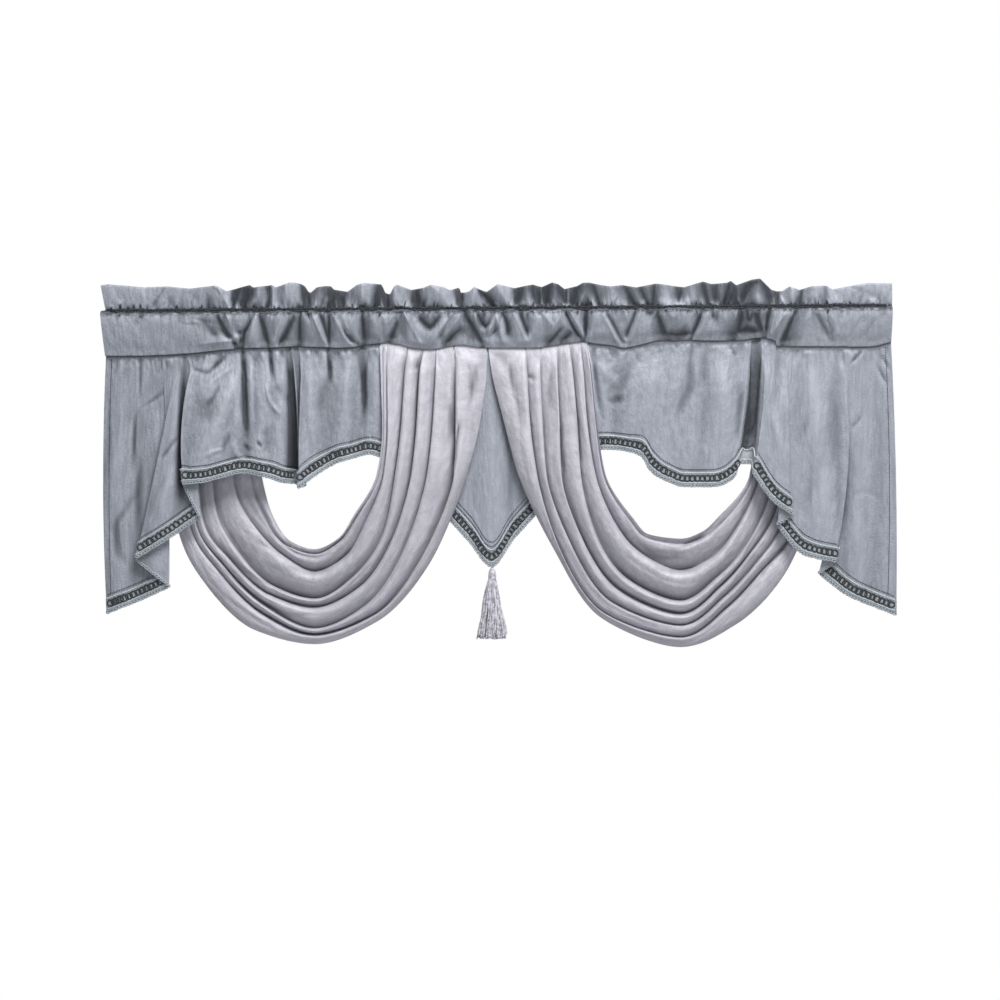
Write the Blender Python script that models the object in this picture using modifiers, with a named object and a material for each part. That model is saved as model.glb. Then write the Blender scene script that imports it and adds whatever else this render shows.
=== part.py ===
"""Gathered window valance: a satin heading with a rod pocket, two swags, two stepped tails and a pointed centre."""

import math

import bpy
import numpy as np

# Sizes are in millimetres: X along the rod, Y away from the viewer, Z up from the heading's top edge.
CLOTH = 1.2
GAP = 0.7
FRONT_LAYER = -0.9
BACK_LAYER = 0.6
TUCK = 4.0
SEAM_LIP = 3.0

STITCH_Z = -28.7
STITCH_RISE = 0.0072

BRAID_WIDE = 17.0
BRAID_THICK = 1.0

TASSEL_X = -8.0
TASSEL_Y = 1.0
TASSEL_TOP = -356.0
TASSEL_FOOT = -447.0
HEAD_PROFILE = (
    # z below the tassel's top, radius
    (0.0, 0.0),
    (0.0, 0.9),
    (2.0, 1.1),
    (5.0, 3.4),
    (9.0, 4.6),
    (13.5, 4.8),
    (16.5, 4.2),
    (18.0, 5.2),
    (22.0, 5.6),
    (23.0, 5.0),
    (23.0, 0.0),
)
STRAND_RINGS = (
    # strands, radius at the head, radius at the foot, turn
    (6, 1.3, 4.0, 0.0),
    (12, 2.7, 9.5, 0.2),
    (18, 4.0, 15.5, 0.1),
)

POCKET_PROFILE = (
    # share of the way from the seam up to the stitching, y, share of the gathers
    (0.0, -2.4, 0.0),
    (0.14, -4.4, 0.1),
    (0.34, -7.4, 0.8),
    (0.56, -9.8, 0.75),
    (0.76, -11.2, 0.45),
    (0.9, -10.4, 0.3),
    (1.0, -1.3, 0.0),
)
RUFFLE_PROFILE = (
    # share of the way from the stitching up to the top edge, y, share of the gathers
    (0.2, -2.3, 0.45),
    (0.6, -2.7, 1.0),
    (0.92, -2.0, 1.15),
)
BACK_SHARE = 0.6

GATHERS = (
    # top x, seam x, top z, seam z, ruffle y, pocket y
    (-505.2, -499.5, 0, -88.9, 0, 0),
    (-468, -465.5, -1.3, -88.9, 0, -1),
    (-423.5, -422.3, -3.4, -87.6, 0.5, 0),
    (-385.4, -385.4, -3.4, -85.1, -0.5, -1),
    (-355, -351.2, -1.8, -81.3, -1.5, -2),
    (-344.8, -339.7, -10.2, -80.6, 1.5, 0),
    (-327, -327, -3.8, -79.4, -1, 3.5),
    (-310.5, -314.3, -0.6, -78.7, -2, -2),
    (-290.8, -290.8, 0, -78.7, 0, 3),
    (-281.3, -281.3, -5.1, -78.1, 2, 0),
    (-268.6, -268.6, 1.3, -77.5, -2, -2.5),
    (-254.6, -254.6, 2.5, -76.8, 0, 3.5),
    (-239.4, -239.4, -9.7, -77.5, 2.5, -1.5),
    (-226.7, -226.7, -2.5, -77.9, -1.5, -2),
    (-216.5, -216.5, -1.3, -78.1, 0, 3),
    (-203.8, -203.8, -6.3, -78.7, 1, -1.5),
    (-187.3, -187.3, -10.2, -78.1, 2, -2),
    (-172.7, -172.7, 1.7, -75.6, -2, 4),
    (-158.1, -158.1, 1.5, -73.7, -2, -3),
    (-142.9, -142.9, -10.8, -72.4, 2.5, -1),
    (-132.7, -132.7, -1.3, -73.7, -1.5, -2),
    (-123.8, -123.8, -2.5, -74.9, 0, 3.5),
    (-114.9, -114.9, -5.1, -77.5, 1, -1),
    (-106, -106, -3.2, -79.4, 0.5, 2.5),
    (-85.7, -85.7, 0, -80.6, -2, -2.5),
    (-65.4, -65.4, -5.1, -77.5, 0, -2.5),
    (-55.2, -55.2, -10.2, -75.8, 2, -1),
    (-45.1, -45.1, -7.6, -75.3, 1.5, 4),
    (-31.1, -31.1, -3.2, -77.5, -1.5, -1.5),
    (-20.4, -20.4, -6.3, -78.7, 2, 4),
    (-11.4, -11.4, -3.8, -78.7, 0, -1.5),
    (-1.9, -1.9, 1.3, -78.7, -2, 3),
    (17.1, 17.1, -2.5, -78.7, 0, -2.5),
    (34.9, 34.9, -1.3, -78.7, -1, 3),
    (51.4, 51.4, -3.8, -78.7, 1.5, -2),
    (69.2, 69.2, 2.5, -76.2, -2, -3),
    (88.3, 88.3, -5.1, -73, 1, -2),
    (108.2, 108.2, 1.9, -71.1, -1.5, 5),
    (128.9, 123.8, -0.6, -73.7, 1, -2.5),
    (144.1, 144.1, -0.6, -75.6, -1, -1.5),
    (159.4, 159.4, -2.5, -78.7, 1.5, 3),
    (179.7, 179.7, -1.3, -74.9, -1, -2.5),
    (202.6, 205.1, 1.3, -69.2, -1.5, -1),
    (221.6, 221.6, -1.9, -69.8, 1.5, 4),
    (238.1, 230.5, -1.9, -69.2, 1, -1),
    (254.6, 244.5, 3.8, -68.6, -2, 2),
    (276.2, 269.9, 1.9, -69.8, 0.5, -2.5),
    (295.3, 295.3, 6.3, -69.8, -2.5, -1),
    (305.4, 305.4, 1.9, -69.3, 1, 3),
    (319.4, 319.4, 5.7, -67.3, -1.5, -2),
    (329.6, 329.6, 7.6, -66, -2, 0),
    (338.5, 338.5, 2.5, -66.7, 0, 5),
    (351.2, 351.2, -6.3, -69.8, 2.5, -2),
    (363.9, 353.7, -8.3, -76.8, 2, 1.5),
    (375.3, 360, -2.5, -76.8, -1.5, -1.5),
    (390.5, 382.9, -3.8, -76.8, 1, 0),
    (407, 419.7, -1.3, -76.8, -1, 2),
    (424.8, 435, -6.3, -76.8, 1.5, -1.5),
    (451.5, 451.5, 1.7, -77.5, -1.5, -1),
    (475.6, 475.6, 2.5, -76.6, 0, 0),
    (499.7, 498.5, 3.8, -71.1, 0, 0),
)
LEFT_FOLDS = (
    # name, x top, x middle, x hem, z hem, y middle, y hem
    ("side edge", -498.5, -502.3, -497.6, -415.3, 1, 1),
    ("side bow", -475.6, -479.4, -478.2, -407.7, -1, -2),
    ("crease", -452.8, -460.4, -459.1, -400.1, 1, 1),
    ("back roll", -438.8, -440.1, -438.8, -391.2, -1, -1.5),
    ("first turn", -429.9, -419.7, -417.8, -381, -2, -2.5),
    ("first return", -424.8, -421, -418.5, -379.7, -5, -7.5),
    ("second front", -410.8, -431.2, -458.5, -348, -6.5, -9.5),
    ("second edge", -405.8, -431.8, -459.1, -346.1, -9, -13),
    ("second layer", -399.4, -407, -419.7, -321.3, -10, -14),
    ("second turn", -395, -383.5, -377.5, -293.5, -10.5, -14.8),
    ("second return", -391.8, -385.4, -377.5, -293.5, -13.5, -20.3),
    ("third front", -388, -399.4, -396.9, -254, -14.5, -21.5),
    ("third edge", -384.2, -400.1, -397.5, -251.5, -17.5, -25),
    ("slanting roll", -356.2, -361.3, -374, -248.9, -17.5, -24.5),
    ("thin fold", -328.3, -320.7, -324.5, -236.9, -10, -18),
    ("middle roll", -308, -302.9, -300.4, -240.7, -13, -20),
    ("short fold", -290.2, -285.1, -287.7, -243.8, -10, -18),
    ("pleat roll", -275, -272.4, -272.4, -248.9, -12.5, -18),
    ("pleat turn", -264.8, -258.4, -255.9, -250.2, -5, -7),
    ("pleat back", -259.7, -252.1, -247, -251.5, -2.5, -4.5),
    ("pleat return", -254.6, -248.3, -244.5, -252.7, -4.5, -7.5),
    ("pleat front", -251.5, -250.8, -251.5, -255.3, -9.5, -14.5),
    ("pleat edge", -248.3, -252.1, -252.7, -256.5, -11.5, -17.5),
    ("inner roll", -231.8, -234.3, -231.8, -240, -10, -13),
    ("inner fold", -216.5, -215.3, -216.5, -229.9, -5, -8),
    ("broad roll", -194.9, -198.8, -200, -222.2, -7, -9),
    ("soft valley", -173.4, -179.7, -182.2, -217.2, -3, -4.5),
    ("last roll", -161.9, -161.9, -164.5, -212.7, -4.5, -5),
    ("inner edge", -149.9, -144.8, -144.1, -218.4, -1.5, -1.5),
)
RIGHT_FOLDS = (
    # name, x top, x middle, x hem, z hem, y middle, y hem
    ("inner edge", 119.4, 121.3, 123.8, -207, -1.5, -1.5),
    ("first roll", 134, 134, 136.5, -206.4, -4.5, -5),
    ("dip", 156.8, 142.9, 151.8, -207, -2.5, -4),
    ("broad roll", 182.2, 179.7, 179.7, -214.6, -6.5, -8),
    ("step", 207.6, 200, 194.9, -236.2, -6, -9),
    ("middle roll", 226.7, 217.8, 215.3, -247.7, -7.5, -11),
    ("soft valley", 245.7, 238.1, 236.9, -254, -4, -8),
    ("pleat roll", 283.8, 276.2, 271.1, -254, -8.5, -12),
    ("pleat side", 314.3, 305.4, 296.5, -243.8, -9, -12),
    ("pleat turn", 321.9, 316.9, 305.4, -224.8, -4, -6),
    ("pleat back", 327, 324.5, 318.1, -224.8, -2.5, -4.5),
    ("pleat return", 332.1, 329.6, 323.2, -228.6, -4.5, -8),
    ("third front", 335.9, 334, 322.6, -236.2, -10.5, -16),
    ("third fold", 339.7, 334.6, 322.6, -237.5, -13, -19.5),
    ("third layer", 353.7, 351.2, 346.1, -271.8, -14, -21.5),
    ("third edge", 365.1, 367.7, 368.3, -288.3, -13, -21.5),
    ("third back", 368.9, 367.7, 369.6, -290.8, -11, -18),
    ("second return", 374, 363.9, 353, -302.5, -10.5, -17.8),
    ("second turn", 379.1, 362.6, 353, -302.5, -7, -11.4),
    ("second layer", 403.2, 396.9, 386.7, -340.4, -9, -13),
    ("second front", 432.4, 443.2, 424.8, -349.2, -8.5, -12),
    ("second edge", 437.5, 443.9, 426.1, -350, -6, -9),
    ("first return", 442.6, 436.2, 406.4, -364, -5, -7.7),
    ("first turn", 447.7, 435, 406.4, -364, -2.5, -2.2),
    ("back roll", 461.6, 459.1, 443.9, -392.4, -1, -1.5),
    ("side bow", 480.7, 484.5, 476.9, -406.4, 1, 0.5),
    ("side edge", 498.5, 504.8, 505.2, -417.3, 0, 0),
)
PENNANT_FOLDS = (
    # name, x top, x middle, x hem, z hem, y middle, y hem
    ("left edge", -90.8, -90.8, -90.8, -268, 2.2, 2.2),
    ("left roll", -62.9, -62.9, -62.9, -295.9, 1.4, 1),
    ("left middle", -36.2, -36.2, -36.2, -325.1, 2.6, 2.2),
    ("tip", -8.9, -8.9, -8.9, -355.6, 1.6, 1),
    ("right middle", 18.4, 18.4, 18.4, -321.3, 2.8, 2.6),
    ("right roll", 46.4, 46.4, 46.4, -290.2, 1.6, 1),
    ("right edge", 74.3, 74.3, 74.3, -259.1, 2.2, 2.2),
)
LEFT_STATIONS = (
    # name, inner x, inner z, outer x, outer z, base y, fold share
    ("top", -146.1, -69.2, -15.1, -72.4, -0.9, 0),
    ("neck", -147.3, -101.6, -15.2, -109.2, -6.5, 0.75),
    ("arm", -147.3, -180.3, -24.8, -180.3, -11, 1),
    ("elbow", -154.3, -238.8, -40, -238.8, -13, 1),
    ("low", -182.2, -289.6, -87, -351.8, -12, 1),
    ("near", -202.6, -320, -153, -425.4, -10, 1),
    ("foot", -233, -334, -233, -454.7, -8, 1),
    ("far", -263.5, -323.9, -309.2, -436.9, -6, 1),
    ("rise", -286.4, -292.1, -371.5, -379.7, -1, 0.9),
    ("turn", -301, -241.3, -404.5, -321.3, 6, 0.6),
    ("hidden", -313.1, -154.9, -427.4, -195.6, 8, 0.5),
    ("seam", -321.9, -71.8, -442.6, -80.6, 0.6, 0),
)
RIGHT_STATIONS = (
    # name, inner x, inner z, outer x, outer z, base y, fold share
    ("top", 114.3, -64.8, -12.6, -71.1, -0.9, 0),
    ("neck", 118.1, -101.6, -8.9, -109.2, -6.5, 0.75),
    ("arm", 124.5, -170.2, 6.3, -170.2, -11, 1),
    ("elbow", 135.3, -238.8, 24.8, -238.8, -13, 1),
    ("low", 169.5, -293.4, 69.2, -332.7, -12, 1),
    ("near", 189.9, -315, 128.9, -420.4, -10, 1),
    ("foot", 230.5, -320.7, 230.5, -458.5, -8, 1),
    ("far", 257.2, -312.4, 300.4, -430.5, -6, 1),
    ("rise", 281.3, -290.8, 351.2, -383.5, -1, 0.9),
    ("turn", 319.4, -238.8, 379.1, -337.8, 6, 0.6),
    ("hidden", 327, -154.9, 413.4, -218.4, 8, 0.5),
    ("seam", 321.9, -59.1, 442.6, -69.8, 0.6, 0),
)
# Each row is one fold: its valley's share of the way across at each station, then the
# valley's depth and the height of the roll beyond it.
LEFT_SWAG_FOLDS = (
    ((0.03, 0.03, 0.02, 0.03, 0.04, 0.03, 0.05, 0.06, 0.10, 0.12, 0.10, 0.10), 1.5, -1.5),
    ((0.08, 0.07, 0.06, 0.08, 0.15, 0.20, 0.23, 0.17, 0.22, 0.31, 0.30, 0.30), 4.0, -3.0),
    ((0.27, 0.24, 0.20, 0.21, 0.38, 0.43, 0.52, 0.50, 0.52, 0.56, 0.50, 0.50), 6.0, -2.5),
    ((0.41, 0.38, 0.36, 0.39, 0.50, 0.57, 0.61, 0.60, 0.64, 0.72, 0.65, 0.65), 5.0, -4.0),
    ((0.53, 0.53, 0.53, 0.57, 0.67, 0.77, 0.83, 0.72, 0.73, 0.80, 0.75, 0.75), 4.0, -3.0),
    ((0.70, 0.72, 0.77, 0.86, 0.89, 0.92, 0.90, 0.81, 0.81, 0.87, 0.85, 0.85), 5.0, -3.0),
)
RIGHT_SWAG_FOLDS = (
    ((0.02, 0.02, 0.02, 0.03, 0.05, 0.04, 0.05, 0.06, 0.08, 0.06, 0.10, 0.10), 1.5, -1.5),
    ((0.08, 0.09, 0.11, 0.12, 0.21, 0.20, 0.29, 0.28, 0.25, 0.16, 0.25, 0.25), 5.0, -3.0),
    ((0.19, 0.20, 0.22, 0.29, 0.47, 0.50, 0.57, 0.48, 0.45, 0.37, 0.42, 0.42), 5.0, -3.0),
    ((0.31, 0.35, 0.41, 0.51, 0.64, 0.65, 0.69, 0.58, 0.54, 0.53, 0.56, 0.56), 6.0, -3.5),
    ((0.48, 0.52, 0.59, 0.68, 0.79, 0.80, 0.80, 0.69, 0.66, 0.68, 0.70, 0.70), 4.5, -3.5),
    ((0.63, 0.66, 0.73, 0.79, 0.93, 0.94, 0.91, 0.80, 0.77, 0.85, 0.84, 0.84), 5.0, -3.0),
)
SWAG_EDGE_Y = (-1.0, 2.0)



def clear_scene():
    for old in list(bpy.data.objects):
        bpy.data.objects.remove(old)


def new_collection(name):
    made = bpy.data.collections.new(name)
    bpy.context.scene.collection.children.link(made)
    return made


def plain_material(name, colour, roughness):
    """A Principled material, which gives the node its name, colour and finish."""
    material = bpy.data.materials.new(name)
    material.use_nodes = True
    shader = material.node_tree.nodes["Principled BSDF"]
    shader.inputs["Base Color"].default_value = (*colour, 1.0)
    shader.inputs["Roughness"].default_value = roughness
    shader.inputs["Metallic"].default_value = 0.0
    return material


def eased(values, steps):
    """The rows of an array with steps between each two, smooth and never past the rows themselves."""
    values = np.asarray(values, float)
    rise = np.diff(values, axis=0)
    slopes = np.zeros_like(values)
    before = rise[:-1]
    after = rise[1:]
    product = before * after
    total = np.where(product > 0, before + after, 1.0)
    slopes[1:-1] = np.where(product > 0, 2 * product / total, 0.0)
    slopes[0] = rise[0]
    slopes[-1] = rise[-1]
    rows = []
    for i in range(len(rise)):
        for step in range(steps):
            t = step / steps
            bend = t * t * (3 - 2 * t)
            leave = t * (1 - t) ** 2
            arrive = t * t * (1 - t)
            row = values[i] + rise[i] * bend + slopes[i] * leave - slopes[i + 1] * arrive
            rows.append(row)
    rows.append(values[-1])
    return np.array(rows)


def smooth(t):
    t = np.clip(t, 0.0, 1.0)
    return t * t * (3 - 2 * t)


def seam_z(x):
    """Height of the seam under the rod pocket."""
    table = np.array(GATHERS)
    return np.interp(x, table[:, 1], table[:, 3])


def sheet_object(name, grid, thickness, material, collection):
    """A cloth sheet from a grid of points, front face towards -Y where the columns run with +X."""
    rows, columns = grid.shape[:2]
    faces = []
    for i in range(rows - 1):
        for j in range(columns - 1):
            a = i * columns + j
            faces.append((a, a + columns, a + columns + 1, a + 1))
    mesh = bpy.data.meshes.new(name)
    mesh.from_pydata((grid.reshape(-1, 3) * 0.001).tolist(), [], faces)
    mesh.materials.append(material)
    mesh.shade_smooth()
    piece = bpy.data.objects.new(name, mesh)
    collection.objects.link(piece)
    wall = piece.modifiers.new("cloth", "SOLIDIFY")
    wall.thickness = thickness * 0.001
    wall.offset = 0.0
    return piece


def heading_grid():
    """The strip folded over the rod: up the front, over the ruffle's edge and down the back."""
    columns = []
    for top_x, seam_x, top_z, low_z, ruffle, gather in GATHERS:
        stitch = STITCH_Z + STITCH_RISE * top_x
        front = []
        for share, y, part in POCKET_PROFILE:
            x = seam_x + (top_x - seam_x) * share
            z = low_z + (stitch - low_z) * share
            front.append((x, y, z, part * gather, 0.0))
        for share, y, part in RUFFLE_PROFILE:
            z = stitch + (top_z - stitch) * share
            front.append((top_x, y, z, 0.0, part * ruffle))
        column = [(x, y + pocket + wave, z) for x, y, z, pocket, wave in front]
        column.append((top_x, RUFFLE_PROFILE[-1][2] * ruffle, top_z))
        for x, y, z, pocket, wave in reversed(front):
            column.append((x, -y - pocket * BACK_SHARE + wave, z))
        column[-1] = (seam_x, BACK_LAYER + 1.5, low_z)
        columns.append(column)
    return np.array(columns).transpose(1, 0, 2)


def line_shares(braid):
    """Shares of the way down a fold line where the rows of a hanging piece lie, braid being the trim's share."""
    shares = [0.0, 0.05, 0.12, 0.22, 0.36, 0.52, 0.68, 0.84]
    return [share * (1 - braid) for share in shares] + [1 - braid, 1.0]


def trim_height(hem):
    """How far up each fold line the trim reaches, so that it keeps its width on a slanting hem."""
    along = np.gradient(hem, axis=0)
    level = np.hypot(along[:, 0], along[:, 1])
    length = np.maximum(np.linalg.norm(along, axis=1), 1e-6)
    return BRAID_WIDE / np.clip(level / length, 0.6, 1.0)


def hanging_grid(folds, start_y):
    """A piece that hangs from the seam: one column for each fold line and one between each two."""
    table = eased([row[1:] for row in folds], 2)
    x_top, x_mid, x_hem, z_hem, y_mid, y_hem = table.T
    lip = seam_z(x_top) - SEAM_LIP
    trim = trim_height(np.stack([x_hem, y_hem, z_hem], 1))
    rows = [np.stack([x_top, np.full_like(x_top, start_y), seam_z(x_top) + TUCK], 1)]
    columns = []
    for j in range(len(x_top)):
        shares = np.array(line_shares(trim[j] / (lip[j] - z_hem[j])))
        bow = 4 * (x_mid[j] - (x_top[j] + x_hem[j]) / 2)
        x = x_top[j] + (x_hem[j] - x_top[j]) * shares + bow * shares * (1 - shares)
        y = start_y + (y_mid[j] - start_y) * smooth(shares / 0.25)
        y = y + (y_hem[j] - y_mid[j]) * smooth((shares - 0.3) / 0.7)
        z = lip[j] + (z_hem[j] - lip[j]) * shares
        columns.append(np.stack([x, y, z], 1))
    rows.extend(np.array(columns).transpose(1, 0, 2))
    return np.array(rows)


def braid_grid(grid):
    """The trim on the face of a piece's last two rows."""
    upper = grid[-2]
    hem = grid[-1]
    sides = np.diff((upper + hem) / 2, axis=0)
    sides = sides / np.linalg.norm(sides, axis=1)[:, None]
    before = np.concatenate([sides[:1], sides])
    after = np.concatenate([sides, sides[-1:]])
    normal = np.cross(hem - upper, before + after)
    normal = normal / np.linalg.norm(normal, axis=1)[:, None]
    turn = np.sqrt(np.clip((1 + (before * after).sum(axis=1)) / 2, 0.45, 1.0))
    out = (CLOTH / 2 + GAP + BRAID_THICK / 2) / turn
    return np.array([upper, hem]) + normal * out[:, None]


def swag_grid(stations, folds):
    """A swag: stations run down one arm, round the foot and up the other, and folds lie across."""
    net = []
    for k, (name, in_x, in_z, out_x, out_z, base, share) in enumerate(stations):
        across = [(0.0, SWAG_EDGE_Y[0])]
        for n, (places, valley, roll) in enumerate(folds):
            place = places[k]
            beyond = folds[n + 1][0][k] if n + 1 < len(folds) else 1.0
            across.append((place, valley))
            across.append(((place + beyond) / 2, roll))
        across.append((1.0, SWAG_EDGE_Y[1]))
        row = []
        for place, depth in across:
            x = in_x + (out_x - in_x) * place
            z = in_z + (out_z - in_z) * place
            row.append((x, base + share * depth, z))
        net.append(row)
    net = np.array(net)
    for end in (0, -1):
        lip = net[end].copy()
        lip[:, 2] = seam_z(lip[:, 0]) - SEAM_LIP
        net[end] = lip
    body = eased(net, 2)
    starts = []
    for end in (0, -1):
        tuck = body[end].copy()
        tuck[:, 2] = seam_z(tuck[:, 0]) + TUCK
        starts.append(tuck[None])
    whole = np.concatenate([starts[0], body, starts[1]])
    return eased(whole.transpose(1, 0, 2), 2).transpose(1, 0, 2)


def strand(angle, root, foot, start, end):
    """One three-sided strand of the tassel, from inside its head to its foot."""
    verts = []
    for share, thick in ((0.0, 0.55), (0.35, 0.9), (1.0, 1.3)):
        radius = root + (foot - root) * share ** 0.75
        centre = (radius * math.cos(angle), radius * math.sin(angle))
        z = start + (end - start) * share
        for k in range(3):
            side = angle + 2 * math.pi * k / 3
            verts.append((centre[0] + thick * math.cos(side), centre[1] + thick * math.sin(side), z))
    faces = [(0, 1, 2), (8, 7, 6)]
    for row in (0, 3):
        for k in range(3):
            after = (k + 1) % 3
            faces.append((row + k, row + k + 3, row + after + 3, row + after))
    return verts, faces


def helper_object(name, verts, edges, faces, collection):
    mesh = bpy.data.meshes.new(name)
    mesh.from_pydata([(x * 0.001, y * 0.001, z * 0.001) for x, y, z in verts], edges, faces)
    made = bpy.data.objects.new(name, mesh)
    collection.objects.link(made)
    return made


def build_tassel(material, collection, helpers):
    """The tassel: a bound head with its strands growing out of it."""
    verts = [(radius, 0.0, -z) for z, radius in HEAD_PROFILE]
    edges = [(i, i + 1) for i in range(len(verts) - 1)]
    head = helper_object("tassel", verts, edges, [], collection)
    head.data.materials.append(material)
    turned = head.modifiers.new("turned", "SCREW")
    turned.steps = 16
    turned.render_steps = 16
    turned.use_merge_vertices = True
    turned.merge_threshold = 0.0001
    head.location = (TASSEL_X * 0.001, TASSEL_Y * 0.001, TASSEL_TOP * 0.001)
    all_verts = []
    all_faces = []
    length = TASSEL_FOOT - TASSEL_TOP
    for ring, (count, root, foot, turn) in enumerate(STRAND_RINGS):
        for k in range(count):
            angle = 2 * math.pi * (k + turn) / count
            uneven = 2.5 * math.sin(7.3 * k + 2.1 * ring)
            more, sides = strand(angle, root, foot, -HEAD_PROFILE[-4][0], length + uneven)
            start = len(all_verts)
            all_verts.extend(more)
            all_faces.extend(tuple(start + v for v in face) for face in sides)
    strands = helper_object("tassel_strands", all_verts, [], all_faces, helpers)
    strands.location = head.location
    strands.hide_render = True
    strands.display_type = "WIRE"
    join = head.modifiers.new("strands", "BOOLEAN")
    join.operation = "UNION"
    join.solver = "EXACT"
    join.object = strands
    return head


def main():
    clear_scene()
    valance = new_collection("valance")
    helpers = new_collection("valance_helpers")
    helpers.hide_render = True
    slate = (0.30, 0.34, 0.40)
    silver = (0.62, 0.61, 0.67)
    trim = (0.34, 0.38, 0.40)
    sheet_object("heading", heading_grid(), CLOTH, plain_material("heading_satin", slate, 0.4), valance)
    hanging = (
        ("skirt_left", "braid_left", LEFT_FOLDS, FRONT_LAYER),
        ("pennant", "braid_centre", PENNANT_FOLDS, BACK_LAYER),
        ("skirt_right", "braid_right", RIGHT_FOLDS, FRONT_LAYER),
    )
    for name, braid, folds, start_y in hanging:
        grid = hanging_grid(folds, start_y)
        sheet_object(name, grid, CLOTH, plain_material(name + "_satin", slate, 0.4), valance)
        strip = braid_grid(grid)
        sheet_object(braid, strip, BRAID_THICK, plain_material(braid + "_trim", trim, 0.7), valance)
    swags = (
        ("swag_left", LEFT_STATIONS, LEFT_SWAG_FOLDS),
        ("swag_right", RIGHT_STATIONS, RIGHT_SWAG_FOLDS),
    )
    for name, stations, folds in swags:
        grid = swag_grid(stations, folds)
        sheet_object(name, grid, CLOTH, plain_material(name + "_satin", silver, 0.35), valance)
    build_tassel(plain_material("tassel_silk", (0.55, 0.54, 0.60), 0.5), valance, helpers)


main()
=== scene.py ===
"""The window valance as it looks: fine cloth for its solids, with its sewing, braid and tassel."""

import math

import bpy
import numpy as np
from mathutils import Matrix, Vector


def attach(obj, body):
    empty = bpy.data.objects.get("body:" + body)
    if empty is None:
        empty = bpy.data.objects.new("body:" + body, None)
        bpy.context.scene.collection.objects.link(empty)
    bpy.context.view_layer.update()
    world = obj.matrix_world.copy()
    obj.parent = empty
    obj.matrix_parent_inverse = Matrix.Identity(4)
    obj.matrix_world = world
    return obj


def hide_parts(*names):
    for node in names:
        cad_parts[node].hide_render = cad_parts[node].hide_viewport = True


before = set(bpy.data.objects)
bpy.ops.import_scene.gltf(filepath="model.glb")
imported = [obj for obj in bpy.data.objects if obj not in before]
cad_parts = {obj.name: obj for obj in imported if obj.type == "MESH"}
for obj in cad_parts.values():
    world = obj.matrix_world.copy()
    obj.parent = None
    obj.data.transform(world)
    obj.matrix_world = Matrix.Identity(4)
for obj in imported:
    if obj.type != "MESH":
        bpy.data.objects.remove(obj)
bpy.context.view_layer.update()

# Sizes are in millimetres: X along the rod, Y away from the viewer, Z up from the heading's top edge.
MM = 0.001
FORWARD = np.array((0.0, -1.0, 0.0))
CLOTH = 1.2
GAP = 0.7
FRONT_LAYER = -0.9
BACK_LAYER = 0.6
TUCK = 4.0
SEAM_LIP = 3.0
STITCH_Z = -28.7
STITCH_RISE = 0.0072
BRAID_WIDE = 17.0
SIDE_SEAM_IN = 8.0
TASSEL_X = -8.0
TASSEL_Y = 1.0
TASSEL_TOP = -356.0
TASSEL_FOOT = -447.0

# Steps of the fine cloth between two rows of a table.
POCKET_STEPS = 8
RUFFLE_STEPS = 6
HEADING_STEPS = 16
FOLD_STEPS = 12
SWAG_STEPS_ALONG = 22
SWAG_STEPS_ACROSS = 8

# The crumpled heading: its ends, how far its facets reach, how deep and steep they are, and the deepest push.
HEADING_SPAN = (-498, 498)
FACET_REACH = 60.0
FACET_DEPTH = 3.8
FACET_SLOPE = 0.5
DEEPEST_PUSH = 5.0

# The swags: cloth between two stations, the station at the foot, and how far out both edges lie.
STATION_GAP = 82.0
FOOT_STATION = 6
SWAG_EDGE_Y = (-1.0, 2.0)

# The painted shade of level cloth, where 0 is a crest and 1 a hollow.
LEVEL_TONE = 0.38

# How far away the camera stands and how wide its picture is there, in metres.
CAMERA_AWAY = 4.0
PICTURE_WIDE = 1.27

SWAG_LEANS = (
    # at each station: how far a fold's edge leans over its valley and where its crest is, as shares of
    # the fold, and how many times deeper than the solid's the fine folds are
    (0.02, 0.10, 1.0),
    (0.06, 0.08, 1.1),
    (0.07, 0.08, 1.2),
    (0.06, 0.10, 1.5),
    (0.02, 0.18, 1.6),
    (0.00, 0.28, 1.75),
    (0.00, 0.33, 1.75),
    (0.00, 0.29, 1.75),
    (0.02, 0.16, 1.6),
    (0.04, 0.12, 1.4),
    (0.00, 0.20, 1.0),
    (0.00, 0.30, 1.0),
)

POCKET_PROFILE = (
    # share of the way from the seam up to the stitching, y, share of the gathers
    (0.0, -2.4, 0.0),
    (0.14, -4.4, 0.1),
    (0.34, -7.4, 0.8),
    (0.56, -9.8, 0.75),
    (0.76, -11.2, 0.45),
    (0.9, -10.4, 0.3),
    (1.0, -1.3, 0.0),
)

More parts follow.
